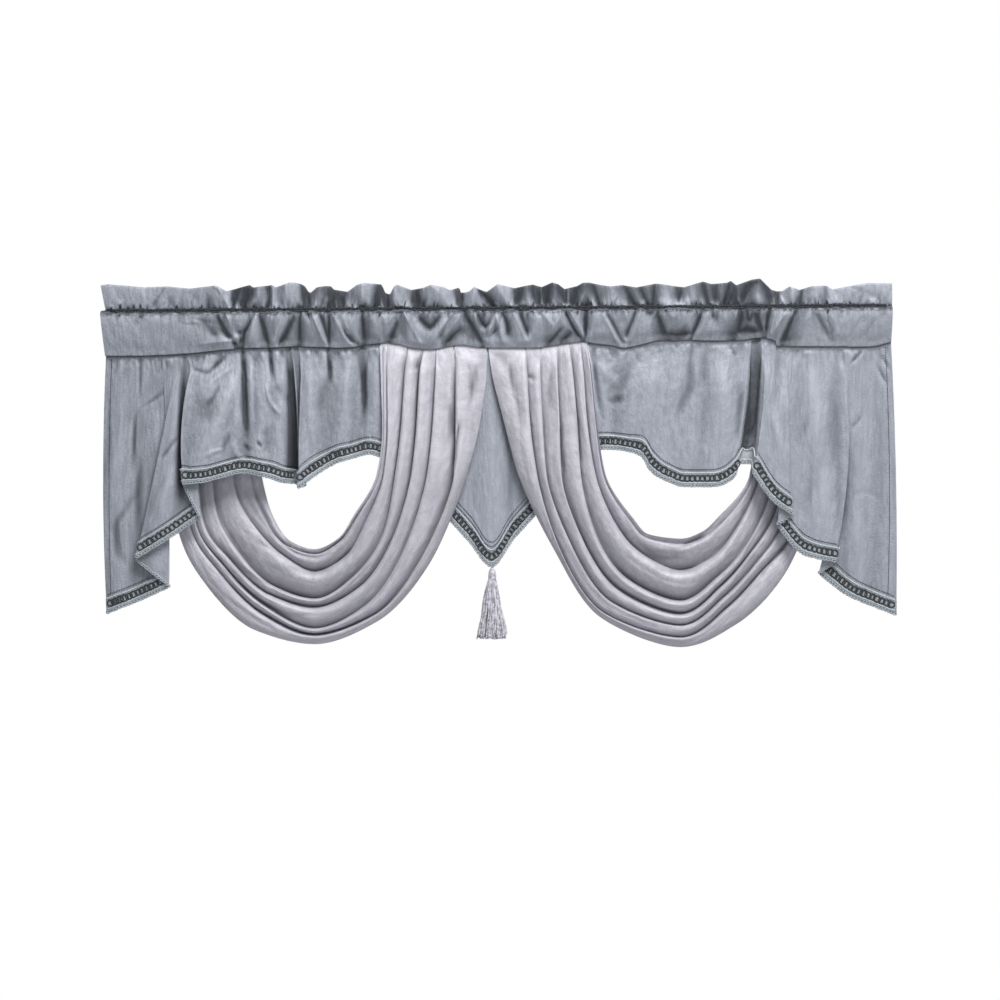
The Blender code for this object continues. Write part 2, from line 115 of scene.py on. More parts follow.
RUFFLE_PROFILE = (
    # share of the way from the stitching up to the top edge, y, share of the gathers
    (0.2, -2.3, 0.45),
    (0.6, -2.7, 1.0),
    (0.92, -2.0, 1.15),
)
BACK_SHARE = 0.6
GATHERS = (
    # top x, seam x, top z, seam z, ruffle y, pocket y
    (-505.2, -499.5, 0, -88.9, 0, 0),
    (-468, -465.5, -1.3, -88.9, 0, -1),
    (-423.5, -422.3, -3.4, -87.6, 0.5, 0),
    (-385.4, -385.4, -3.4, -85.1, -0.5, -1),
    (-355, -351.2, -1.8, -81.3, -1.5, -2),
    (-344.8, -339.7, -10.2, -80.6, 1.5, 0),
    (-327, -327, -3.8, -79.4, -1, 3.5),
    (-310.5, -314.3, -0.6, -78.7, -2, -2),
    (-290.8, -290.8, 0, -78.7, 0, 3),
    (-281.3, -281.3, -5.1, -78.1, 2, 0),
    (-268.6, -268.6, 1.3, -77.5, -2, -2.5),
    (-254.6, -254.6, 2.5, -76.8, 0, 3.5),
    (-239.4, -239.4, -9.7, -77.5, 2.5, -1.5),
    (-226.7, -226.7, -2.5, -77.9, -1.5, -2),
    (-216.5, -216.5, -1.3, -78.1, 0, 3),
    (-203.8, -203.8, -6.3, -78.7, 1, -1.5),
    (-187.3, -187.3, -10.2, -78.1, 2, -2),
    (-172.7, -172.7, 1.7, -75.6, -2, 4),
    (-158.1, -158.1, 1.5, -73.7, -2, -3),
    (-142.9, -142.9, -10.8, -72.4, 2.5, -1),
    (-132.7, -132.7, -1.3, -73.7, -1.5, -2),
    (-123.8, -123.8, -2.5, -74.9, 0, 3.5),
    (-114.9, -114.9, -5.1, -77.5, 1, -1),
    (-106, -106, -3.2, -79.4, 0.5, 2.5),
    (-85.7, -85.7, 0, -80.6, -2, -2.5),
    (-65.4, -65.4, -5.1, -77.5, 0, -2.5),
    (-55.2, -55.2, -10.2, -75.8, 2, -1),
    (-45.1, -45.1, -7.6, -75.3, 1.5, 4),
    (-31.1, -31.1, -3.2, -77.5, -1.5, -1.5),
    (-20.4, -20.4, -6.3, -78.7, 2, 4),
    (-11.4, -11.4, -3.8, -78.7, 0, -1.5),
    (-1.9, -1.9, 1.3, -78.7, -2, 3),
    (17.1, 17.1, -2.5, -78.7, 0, -2.5),
    (34.9, 34.9, -1.3, -78.7, -1, 3),
    (51.4, 51.4, -3.8, -78.7, 1.5, -2),
    (69.2, 69.2, 2.5, -76.2, -2, -3),
    (88.3, 88.3, -5.1, -73, 1, -2),
    (108.2, 108.2, 1.9, -71.1, -1.5, 5),
    (128.9, 123.8, -0.6, -73.7, 1, -2.5),
    (144.1, 144.1, -0.6, -75.6, -1, -1.5),
    (159.4, 159.4, -2.5, -78.7, 1.5, 3),
    (179.7, 179.7, -1.3, -74.9, -1, -2.5),
    (202.6, 205.1, 1.3, -69.2, -1.5, -1),
    (221.6, 221.6, -1.9, -69.8, 1.5, 4),
    (238.1, 230.5, -1.9, -69.2, 1, -1),
    (254.6, 244.5, 3.8, -68.6, -2, 2),
    (276.2, 269.9, 1.9, -69.8, 0.5, -2.5),
    (295.3, 295.3, 6.3, -69.8, -2.5, -1),
    (305.4, 305.4, 1.9, -69.3, 1, 3),
    (319.4, 319.4, 5.7, -67.3, -1.5, -2),
    (329.6, 329.6, 7.6, -66, -2, 0),
    (338.5, 338.5, 2.5, -66.7, 0, 5),
    (351.2, 351.2, -6.3, -69.8, 2.5, -2),
    (363.9, 353.7, -8.3, -76.8, 2, 1.5),
    (375.3, 360, -2.5, -76.8, -1.5, -1.5),
    (390.5, 382.9, -3.8, -76.8, 1, 0),
    (407, 419.7, -1.3, -76.8, -1, 2),
    (424.8, 435, -6.3, -76.8, 1.5, -1.5),
    (451.5, 451.5, 1.7, -77.5, -1.5, -1),
    (475.6, 475.6, 2.5, -76.6, 0, 0),
    (499.7, 498.5, 3.8, -71.1, 0, 0),
)

LEFT_FOLDS = (
    # name, x top, x middle, x hem, z hem, y middle, y hem
    ("side edge", -498.5, -502.3, -497.6, -415.3, 1, 1),
    ("side bow", -475.6, -479.4, -478.2, -407.7, -1, -2),
    ("crease", -452.8, -460.4, -459.1, -400.1, 1, 1),
    ("back roll", -438.8, -440.1, -438.8, -391.2, -1, -1.5),
    ("first turn", -429.9, -419.7, -417.8, -381, -2, -2.5),
    ("first return", -424.8, -421, -418.5, -379.7, -5, -7.5),
    ("second front", -410.8, -431.2, -458.5, -348, -6.5, -9.5),
    ("second edge", -405.8, -431.8, -459.1, -346.1, -9, -13),
    ("second layer", -399.4, -407, -419.7, -321.3, -10, -14),
    ("second turn", -395, -383.5, -377.5, -293.5, -10.5, -14.8),
    ("second return", -391.8, -385.4, -377.5, -293.5, -13.5, -20.3),
    ("third front", -388, -399.4, -396.9, -254, -14.5, -21.5),
    ("third edge", -384.2, -400.1, -397.5, -251.5, -17.5, -25),
    ("slanting roll", -356.2, -361.3, -374, -248.9, -17.5, -24.5),
    ("thin fold", -328.3, -320.7, -324.5, -236.9, -10, -18),
    ("middle roll", -308, -302.9, -300.4, -240.7, -13, -20),
    ("short fold", -290.2, -285.1, -287.7, -243.8, -10, -18),
    ("pleat roll", -275, -272.4, -272.4, -248.9, -12.5, -18),
    ("pleat turn", -264.8, -258.4, -255.9, -250.2, -5, -7),
    ("pleat back", -259.7, -252.1, -247, -251.5, -2.5, -4.5),
    ("pleat return", -254.6, -248.3, -244.5, -252.7, -4.5, -7.5),
    ("pleat front", -251.5, -250.8, -251.5, -255.3, -9.5, -14.5),
    ("pleat edge", -248.3, -252.1, -252.7, -256.5, -11.5, -17.5),
    ("inner roll", -231.8, -234.3, -231.8, -240, -10, -13),
    ("inner fold", -216.5, -215.3, -216.5, -229.9, -5, -8),
    ("broad roll", -194.9, -198.8, -200, -222.2, -7, -9),
    ("soft valley", -173.4, -179.7, -182.2, -217.2, -3, -4.5),
    ("last roll", -161.9, -161.9, -164.5, -212.7, -4.5, -5),
    ("inner edge", -149.9, -144.8, -144.1, -218.4, -1.5, -1.5),
)

RIGHT_FOLDS = (
    # name, x top, x middle, x hem, z hem, y middle, y hem
    ("inner edge", 113.5, 117.5, 125.5, -207, -1.5, -1.5),
    ("first roll", 134, 134, 136.5, -206.4, -4.5, -5),
    ("dip", 156.8, 142.9, 151.8, -207, -2.5, -4),
    ("broad roll", 182.2, 179.7, 179.7, -214.6, -6.5, -8),
    ("step", 207.6, 200, 194.9, -236.2, -6, -9),
    ("middle roll", 226.7, 217.8, 215.3, -247.7, -7.5, -11),
    ("soft valley", 245.7, 238.1, 236.9, -254, -4, -8),
    ("pleat roll", 283.8, 276.2, 271.1, -254, -8.5, -12),
    ("pleat side", 314.3, 305.4, 296.5, -243.8, -9, -12),
    ("pleat turn", 321.9, 316.9, 305.4, -224.8, -4, -6),
    ("pleat back", 327, 324.5, 318.1, -224.8, -2.5, -4.5),
    ("pleat return", 332.1, 329.6, 323.2, -228.6, -4.5, -8),
    ("third front", 335.9, 334, 322.6, -236.2, -10.5, -16),
    ("third fold", 339.7, 334.6, 322.6, -237.5, -13, -19.5),
    ("third layer", 353.7, 351.2, 346.1, -271.8, -14, -21.5),
    ("third edge", 365.1, 367.7, 368.3, -288.3, -13, -21.5),
    ("third back", 368.9, 367.7, 369.6, -290.8, -11, -18),
    ("second return", 374, 363.9, 353, -302.5, -10.5, -17.8),
    ("second turn", 379.1, 362.6, 353, -302.5, -7, -11.4),
    ("second layer", 403.2, 396.9, 386.7, -340.4, -9, -13),
    ("second front", 432.4, 443.2, 424.8, -349.2, -8.5, -12),
    ("second edge", 437.5, 443.9, 426.1, -350, -6, -9),
    ("first return", 442.6, 436.2, 406.4, -364, -5, -7.7),
    ("first turn", 447.7, 435, 406.4, -364, -2.5, -2.2),
    ("back roll", 461.6, 459.1, 443.9, -392.4, -1, -1.5),
    ("side bow", 480.7, 484.5, 476.9, -406.4, 1, 0.5),
    ("side edge", 498.5, 504.8, 505.2, -417.3, 0, 0),
)

PENNANT_FOLDS = (
    # name, x top, x middle, x hem, z hem, y middle, y hem
    ("left edge", -90.8, -90.8, -90.8, -268, 2.2, 2.2),
    ("left roll", -62.9, -62.9, -62.9, -295.9, 1.4, 1),
    ("left middle", -36.2, -36.2, -36.2, -325.1, 2.6, 2.2),
    ("tip", -8.9, -8.9, -8.9, -355.6, 1.6, 1),
    ("right middle", 18.4, 18.4, 18.4, -321.3, 2.8, 2.6),
    ("right roll", 46.4, 46.4, 46.4, -290.2, 1.6, 1),
    ("right edge", 74.3, 74.3, 74.3, -259.1, 2.2, 2.2),
)

LEFT_STATIONS = (
    # name, inner x, inner z, outer x, outer z, base y, fold share
    ("top", -151, -69.2, -15.1, -72.4, -0.9, 0),
    ("neck", -150, -101.6, -15.2, -109.2, -6.5, 0.75),
    ("arm", -147.3, -180.3, -24.8, -180.3, -11, 1),
    ("elbow", -154.3, -238.8, -40, -238.8, -13, 1),
    ("low", -182.2, -289.6, -87, -351.8, -12, 1),
    ("near", -202.6, -320, -153, -425.4, -10, 1),
    ("foot", -233, -334, -233, -454.7, -8, 1),
    ("far", -263.5, -323.9, -309.2, -436.9, -6, 1),
    ("rise", -286.4, -292.1, -371.5, -379.7, -1, 0.9),
    ("turn", -301, -241.3, -404.5, -321.3, 6, 0.6),
    ("hidden", -313.1, -154.9, -427.4, -195.6, 8, 0.5),
    ("seam", -321.9, -71.8, -442.6, -80.6, 0.6, 0),
)

RIGHT_STATIONS = (
    # name, inner x, inner z, outer x, outer z, base y, fold share
    ("top", 114.3, -64.8, -12.6, -71.1, -0.9, 0),
    ("neck", 118.1, -101.6, -8.9, -109.2, -6.5, 0.75),
    ("arm", 124.5, -170.2, 6.3, -170.2, -11, 1),
    ("elbow", 135.3, -238.8, 24.8, -238.8, -13, 1),
    ("low", 169.5, -293.4, 69.2, -332.7, -12, 1),
    ("near", 189.9, -315, 128.9, -420.4, -10, 1),
    ("foot", 230.5, -320.7, 230.5, -458.5, -8, 1),
    ("far", 257.2, -312.4, 300.4, -430.5, -6, 1),
    ("rise", 281.3, -290.8, 351.2, -383.5, -1, 0.9),
    ("turn", 319.4, -238.8, 379.1, -337.8, 6, 0.6),
    ("hidden", 327, -154.9, 413.4, -218.4, 8, 0.5),
    ("seam", 321.9, -59.1, 442.6, -69.8, 0.6, 0),
)
# Each row is one fold: its valley's share of the way across at each station, then the
# valley's depth and the height of the roll beyond it.
LEFT_SWAG_FOLDS = (
    ((0.03, 0.03, 0.02, 0.03, 0.04, 0.03, 0.05, 0.06, 0.10, 0.12, 0.10, 0.10), 1.5, -1.5),
    ((0.08, 0.07, 0.06, 0.08, 0.15, 0.20, 0.23, 0.17, 0.22, 0.31, 0.30, 0.30), 4.0, -3.0),
    ((0.27, 0.24, 0.20, 0.21, 0.38, 0.43, 0.52, 0.50, 0.52, 0.56, 0.50, 0.50), 6.0, -2.5),
    ((0.41, 0.38, 0.36, 0.39, 0.50, 0.57, 0.61, 0.60, 0.64, 0.72, 0.65, 0.65), 5.0, -4.0),
    ((0.53, 0.53, 0.53, 0.57, 0.67, 0.77, 0.83, 0.72, 0.73, 0.80, 0.75, 0.75), 4.0, -3.0),
    ((0.70, 0.72, 0.77, 0.86, 0.89, 0.92, 0.90, 0.81, 0.81, 0.87, 0.85, 0.85), 5.0, -3.0),
)
RIGHT_SWAG_FOLDS = (
    ((0.02, 0.02, 0.02, 0.03, 0.05, 0.04, 0.05, 0.06, 0.08, 0.06, 0.10, 0.10), 1.5, -1.5),
    ((0.08, 0.09, 0.11, 0.12, 0.21, 0.20, 0.29, 0.28, 0.25, 0.16, 0.25, 0.25), 5.0, -3.0),
    ((0.19, 0.20, 0.22, 0.29, 0.47, 0.50, 0.57, 0.48, 0.45, 0.37, 0.42, 0.42), 5.0, -3.0),
    ((0.31, 0.35, 0.41, 0.51, 0.64, 0.65, 0.69, 0.58, 0.54, 0.53, 0.56, 0.56), 6.0, -3.5),
    ((0.48, 0.52, 0.59, 0.68, 0.79, 0.80, 0.80, 0.69, 0.66, 0.68, 0.70, 0.70), 4.5, -3.5),
    ((0.63, 0.66, 0.73, 0.79, 0.93, 0.94, 0.91, 0.80, 0.77, 0.85, 0.84, 0.84), 5.0, -3.0),
)
TOP_EDGE = (
    # x and height of the ruffle's gathered edge
    (-505, 0.8), (-496, 2.2), (-450, -1.7), (-421, -0.5), (-392, -3.4), (-358, 0.2), (-346, -6.5),
    (-316, 1.2), (-311, -2.0), (-288, 1.3), (-283, -1.6), (-265, 3.8), (-257, 3.8), (-251, 2.8),
    (-246, -0.1), (-242, -6.5), (-239, -8.1), (-231, -1.8), (-220, 0.0), (-213, -0.1), (-209, -4.3),
    (-192, -7.0), (-181, 0.6), (-171, 3.3), (-149, 2.2), (-147, -1.0), (-144, -8.1), (-139, -10.2),
    (-137, -9.0), (-133, -1.8), (-129, 1.5), (-111, -4.7), (-95, -2.4), (-86, 1.0), (-69, -1.9),
    (-62, -5.3), (-51, -1.8), (-49, -3.7), (-48, -7.9), (-43, -8.2), (-37, -7.0), (-31, -1.6),
    (-15, -7.2), (-1, 1.9), (20, -2.6), (44, 2.1), (55, -1.1), (68, 4.4), (76, 2.3), (84, -3.6),
    (100, 0.1), (107, 4.0), (115, 4.4), (142, -0.6), (158, 1.5), (175, -1.7), (200, 3.1),
    (236, -1.3), (260, 5.7), (270, 2.8), (290, 4.1), (295, 6.4), (302, 1.3), (322, 8.2), (331, 9.4),
    (333, 8.8), (347, -4.2), (354, -6.2), (361, -6.1), (369, -0.9), (382, -5.0), (397, -0.3),
    (417, 0.4), (424, -4.2), (469, 3.9), (500, 3.5),
)
# Creases of the cloth. Each row is a soft line: its half width, how far it dips away from the viewer
# (a ridge is negative), how far the cloth on its left stands proud of that on its right, and its path
# in X and Z.
HEADING_CREASES = (
    (1.5, 0.9, 0, ((-471, -36), (-460, -51))),
    (1.5, 0.9, 0, ((-460, -51), (-447, -34))),
    (1.8, -0.8, 0.5, ((-490, -9), (-483, -27))),
    (2, 0, 1.2, ((-458, -6), (-444, -29))),
    (2, 1.4, -0.8, ((-424, -1), (-443, -30))),
    (1.6, 1, 0.6, ((-409, -32), (-400, -48), (-380, -49))),
    (2, 0.8, 0.5, ((-389, -41), (-366, -46))),
    (2.2, 0.8, 0, ((-374, -46), (-361, -62))),
    (2, -0.8, 0.5, ((-384, -75), (-344, -71), (-328, -64))),
    (3, -2.2, 1.8, ((-364, 1), (-355, -5), (-342, -28))),
    (4.5, 3.6, 0, ((-333, 0), (-336, -15), (-338, -29))),
    (3, 3.8, 1, ((-358, -36), (-349, -53), (-333, -76), (-328, -89))),
    (3, 3.8, -1.2, ((-308, -30), (-317, -51), (-324, -62), (-327, -84))),
    (4, -2, 0, ((-328, -33), (-328, -52))),
    (1.4, 1.4, 0.5, ((-351, -56), (-340, -69))),
    (3.2, 3.5, 0, ((-328, -58), (-326, -94))),
    (2.2, -1.2, 0, ((-309, -36), (-317, -75))),
    (3, 3.4, -1.6, ((-305, -34), (-298, -57), (-290, -84))),
    (2.2, -1.6, 0, ((-271, -33), (-280, -53), (-287, -76))),
    (4, 2.2, 0, ((-261, -42), (-267, -56), (-279, -74))),
    (2.2, 3, -1.4, ((-251, -28), (-253, -53), (-254, -84))),
    (3.6, 2.4, 0, ((-247, -30), (-241, -38))),
    (1.8, -1.4, 0, ((-237, -34), (-228, -56), (-218, -77))),
    (3.2, 3, -1.2, ((-227, -36), (-220, -56), (-215, -84))),
    (1.8, 2.4, 0, ((-215, -24), (-215, -46), (-216, -77))),
    (1.8, -1.2, 0.6, ((-211, -36), (-200, -57), (-190, -74))),
    (4, 2, 0, ((-194, -60), (-186, -70), (-176, -75))),
    (1.5, -1.2, 0.5, ((-197, -39), (-191, -58))),
    (1.5, -1.2, -0.5, ((-191, -58), (-181, -32))),
    (2.4, 3.6, -0.8, ((-174, -28), (-172, -56), (-171, -84))),
    (2.2, -1.6, 0, ((-151, -30), (-143, -50))),
    (2.2, -1.6, 0, ((-143, -50), (-125, -29))),
    (4.2, 2.4, 0, ((-128, -46), (-134, -61), (-140, -75))),
    (2, -1.4, -1.4, ((-123, -29), (-110, -52), (-96, -77))),
    (4.5, 2.2, 0, ((-100, -41), (-87, -53), (-76, -41))),
    (2, -1.4, 0, ((-53, -29), (-70, -51), (-87, -75))),
    (1.5, 1.2, 0, ((-63, -43), (-74, -64))),
    (2, 1.6, 0, ((-49, -56), (-59, -64), (-67, -74))),
    (2.8, 3.6, 1.2, ((-44, -32), (-32, -53), (-21, -73), (-17, -89))),
    (2.2, -1.6, 0, ((-2, -32), (-10, -53), (-16, -72))),
    (2.6, 2.2, 0, ((-29, -32), (-16, -52), (-4, -32))),
    (1.5, 1.2, 0, ((-12, -65), (-2, -55))),
    (3, 2.6, -0.8, ((3, -32), (10, -48), (12, -61))),
    (2, -1.3, 0, ((-3, -41), (8, -77))),
    (2, -1.3, 0.6, ((17, -32), (27, -53), (37, -75))),
    (2, -1.3, -0.6, ((51, -41), (43, -60), (35, -76))),
    (2.4, 2, 0, ((26, -29), (31, -46), (36, -58))),
    (2, -1.6, 0, ((51, -29), (70, -53))),
    (2, -1.6, 0, ((70, -53), (85, -27))),
    (1.6, 1.1, 0, ((63, -74), (78, -56))),
    (1.6, 1.1, 0, ((78, -72), (91, -60))),
    (2.6, 3.6, 0.8, ((84, -32), (95, -52), (107, -71), (109, -84))),
    (1.6, -1.4, 0, ((90, -32), (100, -50), (107, -61))),
    (3, 4.2, -1.8, ((111, -25), (110, -46), (108, -84))),
    (2.2, -1.3, 0, ((128, -32), (119, -51), (114, -74))),
    (1.8, -1.5, 0.5, ((131, -34), (142, -55), (152, -75))),
    (2.2, 1.8, 0, ((137, -36), (148, -55), (157, -72))),
    (2.4, 2.2, 0.8, ((175, -28), (170, -46), (162, -64))),
    (2, -1.3, 0, ((181, -32), (172, -51), (167, -69))),
    (3.4, 2.6, 0, ((185, -28), (192, -36), (199, -29))),
    (3, 3, -1, ((200, -33), (208, -56), (218, -71))),
    (3, 3.4, 1.2, ((261, -28), (252, -50), (243, -71))),
    (8, 3, 0, ((215, -61), (228, -64), (241, -60))),
    (2.2, -1.6, 0, ((215, -30), (222, -41), (229, -29))),
    (2.4, -1.2, 0, ((265, -33), (255, -56), (250, -69))),
    (2.2, 2, 0, ((270, -27), (272, -41))),
    (2.4, 2.4, -0.8, ((304, -24), (307, -41), (298, -71))),
    (2, 2, 0, ((313, -28), (318, -44), (323, -28))),
    (3.6, 2, 0, ((302, -60), (316, -55), (327, -58))),
    (3.2, 4.4, 0.8, ((324, -33), (332, -52), (338, -69), (335, -84))),
    (2.6, 4.2, -1.2, ((345, -25), (341, -46), (338, -74))),
    (2, -1.6, 0, ((351, -33), (345, -56), (344, -71))),
    (3, 3.4, 1.4, ((379, -28), (370, -48), (359, -77))),
    (1.6, -1.2, 0, ((361, -37), (352, -53), (345, -64))),
    (3.8, 3.2, -1, ((401, -34), (412, -53), (425, -76))),
    (1.8, 2, 0, ((413, -27), (418, -46), (424, -64))),
    (2, -1.4, 0, ((441, -32), (435, -46), (429, -64))),
    (2, 0.9, 0.5, ((462, -38), (444, -69))),
    (2, 0.8, 0.5, ((479, -41), (464, -66))),
    (2.2, 1.8, 1.2, ((-314, 4), (-319, -10), (-323, -29))),
    (3.6, 2.6, -1, ((-294, 3), (-291, -13), (-293, -29))),
    (1.8, 0, 1.8, ((-286, 3), (-288, -29))),
    (3, -1.4, 0, ((-262, 5), (-264, -18))),
    (4.2, 4.4, -0.8, ((-248, 5), (-246, -13), (-243, -30))),
    (2.2, 2.6, 0, ((-212, 0), (-211, -29))),
    (5.5, 2.2, 0, ((-200, -5), (-201, -25))),
    (4, -1.8, 0, ((-172, 3), (-173, -18))),
    (2.2, 2.2, -1.6, ((-147, 4), (-152, -13), (-157, -30))),
    (4.4, 4.2, 0, ((-143, -3), (-142, -29))),
    (2.4, -2.2, 1.2, ((-130, 4), (-131, -10), (-123, -29))),
    (6, 2, 0, ((-105, -3), (-107, -24))),
    (2.4, -1.6, -1.4, ((-86, 1), (-73, -10), (-60, -27))),
    (4.2, 4.6, 0, ((-50, 1), (-49, -30))),
    (2.4, -1.6, 1, ((-30, 0), (-36, -27))),
    (3, 2.6, 1, ((-26, -4), (-15, -17), (-4, -29))),
    (2.4, -1.2, -1.2, ((-2, 0), (7, -13), (16, -27))),
    (4.2, 2, 0, ((25, 0), (23, -23))),
    (2.4, 2.2, 1, ((46, 3), (49, -13), (51, -29))),
    (4, 2.4, 0, ((59, 0), (60, -24))),
    (2.4, 3, -1.2, ((83, 4), (84, -29))),
    (4.5, 2.4, 0, ((95, 1), (93, -25))),
    (2.2, 2, 1, ((121, 0), (125, -13), (129, -27))),
    (2.2, 2.4, 0.8, ((159, 3), (166, -13), (175, -27))),
    (2.2, 2.4, 0.8, ((178, 1), (185, -13), (191, -27))),
    (2, 1.8, -0.8, ((197, 4), (196, -25))),
    (8, 2.2, 0, ((229, 6), (229, -18))),
    (2.6, 2.8, -1.2, ((258, 8), (262, -10), (266, -27))),
    (3.4, 1.6, 0, ((274, 5), (275, -18))),
    (2.2, 2.4, 0.6, ((295, 8), (291, -8), (286, -25))),
    (2.4, 2.8, -1.2, ((297, 8), (299, -8), (303, -27))),
    (3, 2.4, 0, ((309, -18), (317, -1), (330, 6))),
    (3, 2.6, -0.8, ((332, 8), (341, -5), (346, -20))),
    (5, 4.4, 0, ((354, -3), (354, -29))),
    (3.2, -1.6, 0, ((371, 3), (371, -18))),
    (2.4, 2.6, 1, ((387, 1), (383, -25))),
    (4.2, 3.8, -0.8, ((415, 4), (415, -28))),
    (4, 1, 0.6, ((444, 0), (467, -6), (485, -18))),
    (3, 0.8, -0.5, ((469, 3), (454, -10), (441, -23))),
)
LEFT_CREASES = (
    (0, 4, (
        (1.8, 1.8, 0, ((-454, -75), (-455, -119), (-456, -152))),
        (1.6, -1, 0, ((-459, -81), (-459, -119), (-460, -150))),
        (3, 1.9, 0.6, ((-455, -150), (-461, -173), (-462, -196), (-463, -239))),
        (3, 1.8, 0.6, ((-459, -157), (-439, -144), (-413, -124))),
        (2.4, 2.4, 0, ((-418, -81), (-427, -99), (-436, -116))),
        (6, 2.8, 0, ((-453, -254), (-476, -287), (-486, -307), (-483, -338), (-459, -363))),
        (7, -2, 0, ((-478, -170), (-490, -234), (-495, -310))),
        (5, 2.4, 0, ((-454, -208), (-458, -259), (-459, -323))),
        (8, -1.8, 0, ((-432, -145), (-438, -183), (-443, -221))),
        (1.3, 0.8, 0, ((-493, -81), (-495, -208), (-496, -395))),
    )),
    (6, 9, (
        (6, 6, 0, ((-397, -56), (-401, -145), (-402, -208), (-404, -297))),
        (3, 2.6, 0.6, ((-404, -190), (-420, -211), (-432, -226))),
        (5, -2.6, 0, ((-412, -224), (-422, -259), (-432, -297))),
    )),
    (11, 18, (
        (3, 2.8, 0, ((-394, -100), (-382, -108), (-370, -110), (-358, -100), (-337, -80))),
        (12, 2.4, 0, ((-384, -130), (-373, -151), (-371, -183))),
        (3, -2.2, 0, ((-378, -136), (-363, -121), (-331, -97))),
        (6, -4, 0, ((-331, -102), (-346, -151), (-366, -193), (-389, -229))),
        (3.4, 2.2, 0, ((-349, -117), (-361, -142), (-374, -160))),
        (3.6, 2, 0, ((-338, -183), (-346, -202), (-355, -218))),
        (3.4, 6, 0, ((-330, -43), (-324, -94), (-321, -157), (-317, -206))),
        (3, -1.8, 0, ((-316, -75), (-314, -145), (-313, -188))),
        (2.8, 5, 0, ((-294, -43), (-289, -98), (-284, -130))),
        (2.6, -2.6, 0, ((-296, -119), (-289, -147), (-269, -171))),
        (7.5, 3, 0, ((-283, -122), (-272, -142), (-262, -155))),
        (8, 2.6, 0, ((-300, -170), (-293, -202), (-300, -224))),
        (3.4, 1.8, 0, ((-322, -199), (-314, -213))),
        (2.6, 2.6, 0, ((-307, -197), (-299, -206))),
        (2.4, -1.8, 0, ((-382, -224), (-360, -211), (-341, -206))),
        (2.4, -1.8, 0, ((-337, -193), (-328, -215), (-313, -226))),
        (10, 14, 0, ((-255, 8), (-260, -170), (-262, -361))),
    )),
    (19, 20, (
        (20, 3.5, 0, ((-253, 46), (-252, -399))),
    )),
    (21, 28, (
        (2.6, 5, 0, ((-219, -43), (-215, -97), (-213, -132))),
        (4.2, 5.6, 0, ((-177, -30), (-172, -97), (-170, -151), (-176, -190))),
        (5, -2, 0, ((-241, -81), (-239, -145), (-238, -203))),
        (6, -2, 0, ((-192, -86), (-194, -138), (-199, -190))),
        (6, 1.6, 0, ((-209, -104), (-223, -135), (-229, -175))),
        (5, -1.6, 0, ((-156, -86), (-154, -132), (-156, -183))),
    )),
)
RIGHT_CREASES = (
    (0, 8, (
        (14, 2.6, 0, ((180, -76), (162, -112), (131, -147))),
        (7, -2.8, 0, ((124, -94), (144, -119), (162, -127))),
        (6, 2.2, 0, ((135, -138), (144, -147), (167, -142))),
        (7.5, 2.6, 0, ((243, -56), (243, -121), (233, -149), (210, -190))),
        (9, -2.6, 0, ((201, -81), (192, -145), (186, -190))),
        (10, -2.8, 0, ((276, -81), (284, -145), (286, -203))),
        (5.5, 1.3, 0, ((262, -76), (260, -109), (256, -137))),
        (2, 2, 0, ((139, -74), (147, -94))),
        (2, 2, 0, ((293, -74), (302, -91))),
        (3, 2.6, 0, ((119, -76), (125, -132), (133, -183))),
        (9, 5, 0, ((314, -107), (311, -164), (304, -224))),
    )),
    (9, 11, (
        (11, 12, 0, ((333, -18), (326, -132), (317, -246))),
        (10, 6, 0, ((316, -145), (312, -190), (308, -246))),
    )),
    (12, 16, (
        (8.5, 2.6, 0, ((352, -62), (355, -126), (350, -170))),
        (7, -2.6, 0, ((341, -140), (355, -196), (370, -239))),
        (2.6, 1.8, 0.5, ((380, -163), (368, -185))),
    )),
    (18, 21, (
        (9, -2.6, 0, ((398, -76), (401, -170), (408, -239))),
        (8.5, 1.6, 0, ((382, -183), (397, -234), (389, -310))),
        (9, -2, 0, ((420, -221), (413, -272), (411, -323))),
        (3, 1.6, 0, ((406, -145), (391, -175), (383, -196))),
    )),
    (23, 26, (
        (2, 2.4, 0, ((464, -80), (443, -103))),
        (2, 2.4, 0, ((474, -81), (490, -94), (498, -112))),
        (2, 2, 0, ((478, -94), (496, -130))),
        (2.4, 2, 0, ((464, -161), (445, -185))),
        (3.2, 1, 0, ((440, -276), (462, -262), (493, -272))),
        (10, -2.2, 0, ((469, -132), (467, -221), (472, -310))),
        (8, 2.2, 0, ((448, -170), (444, -246), (440, -335))),
        (1.3, 0.8, 0, ((499, -84), (501, -208), (501, -399))),
    )),
)
PENNANT_CREASES = (
    (0, 6, (
        (10.4, -1.2, 0, ((-8, -145), (-6, -234), (-8, -323))),
        (6.5, 1.1, 0, ((-34, -208), (-30, -272), (-21, -323))),
        (6.5, 1.1, 0, ((17, -208), (12, -272), (4, -310))),
    )),
)
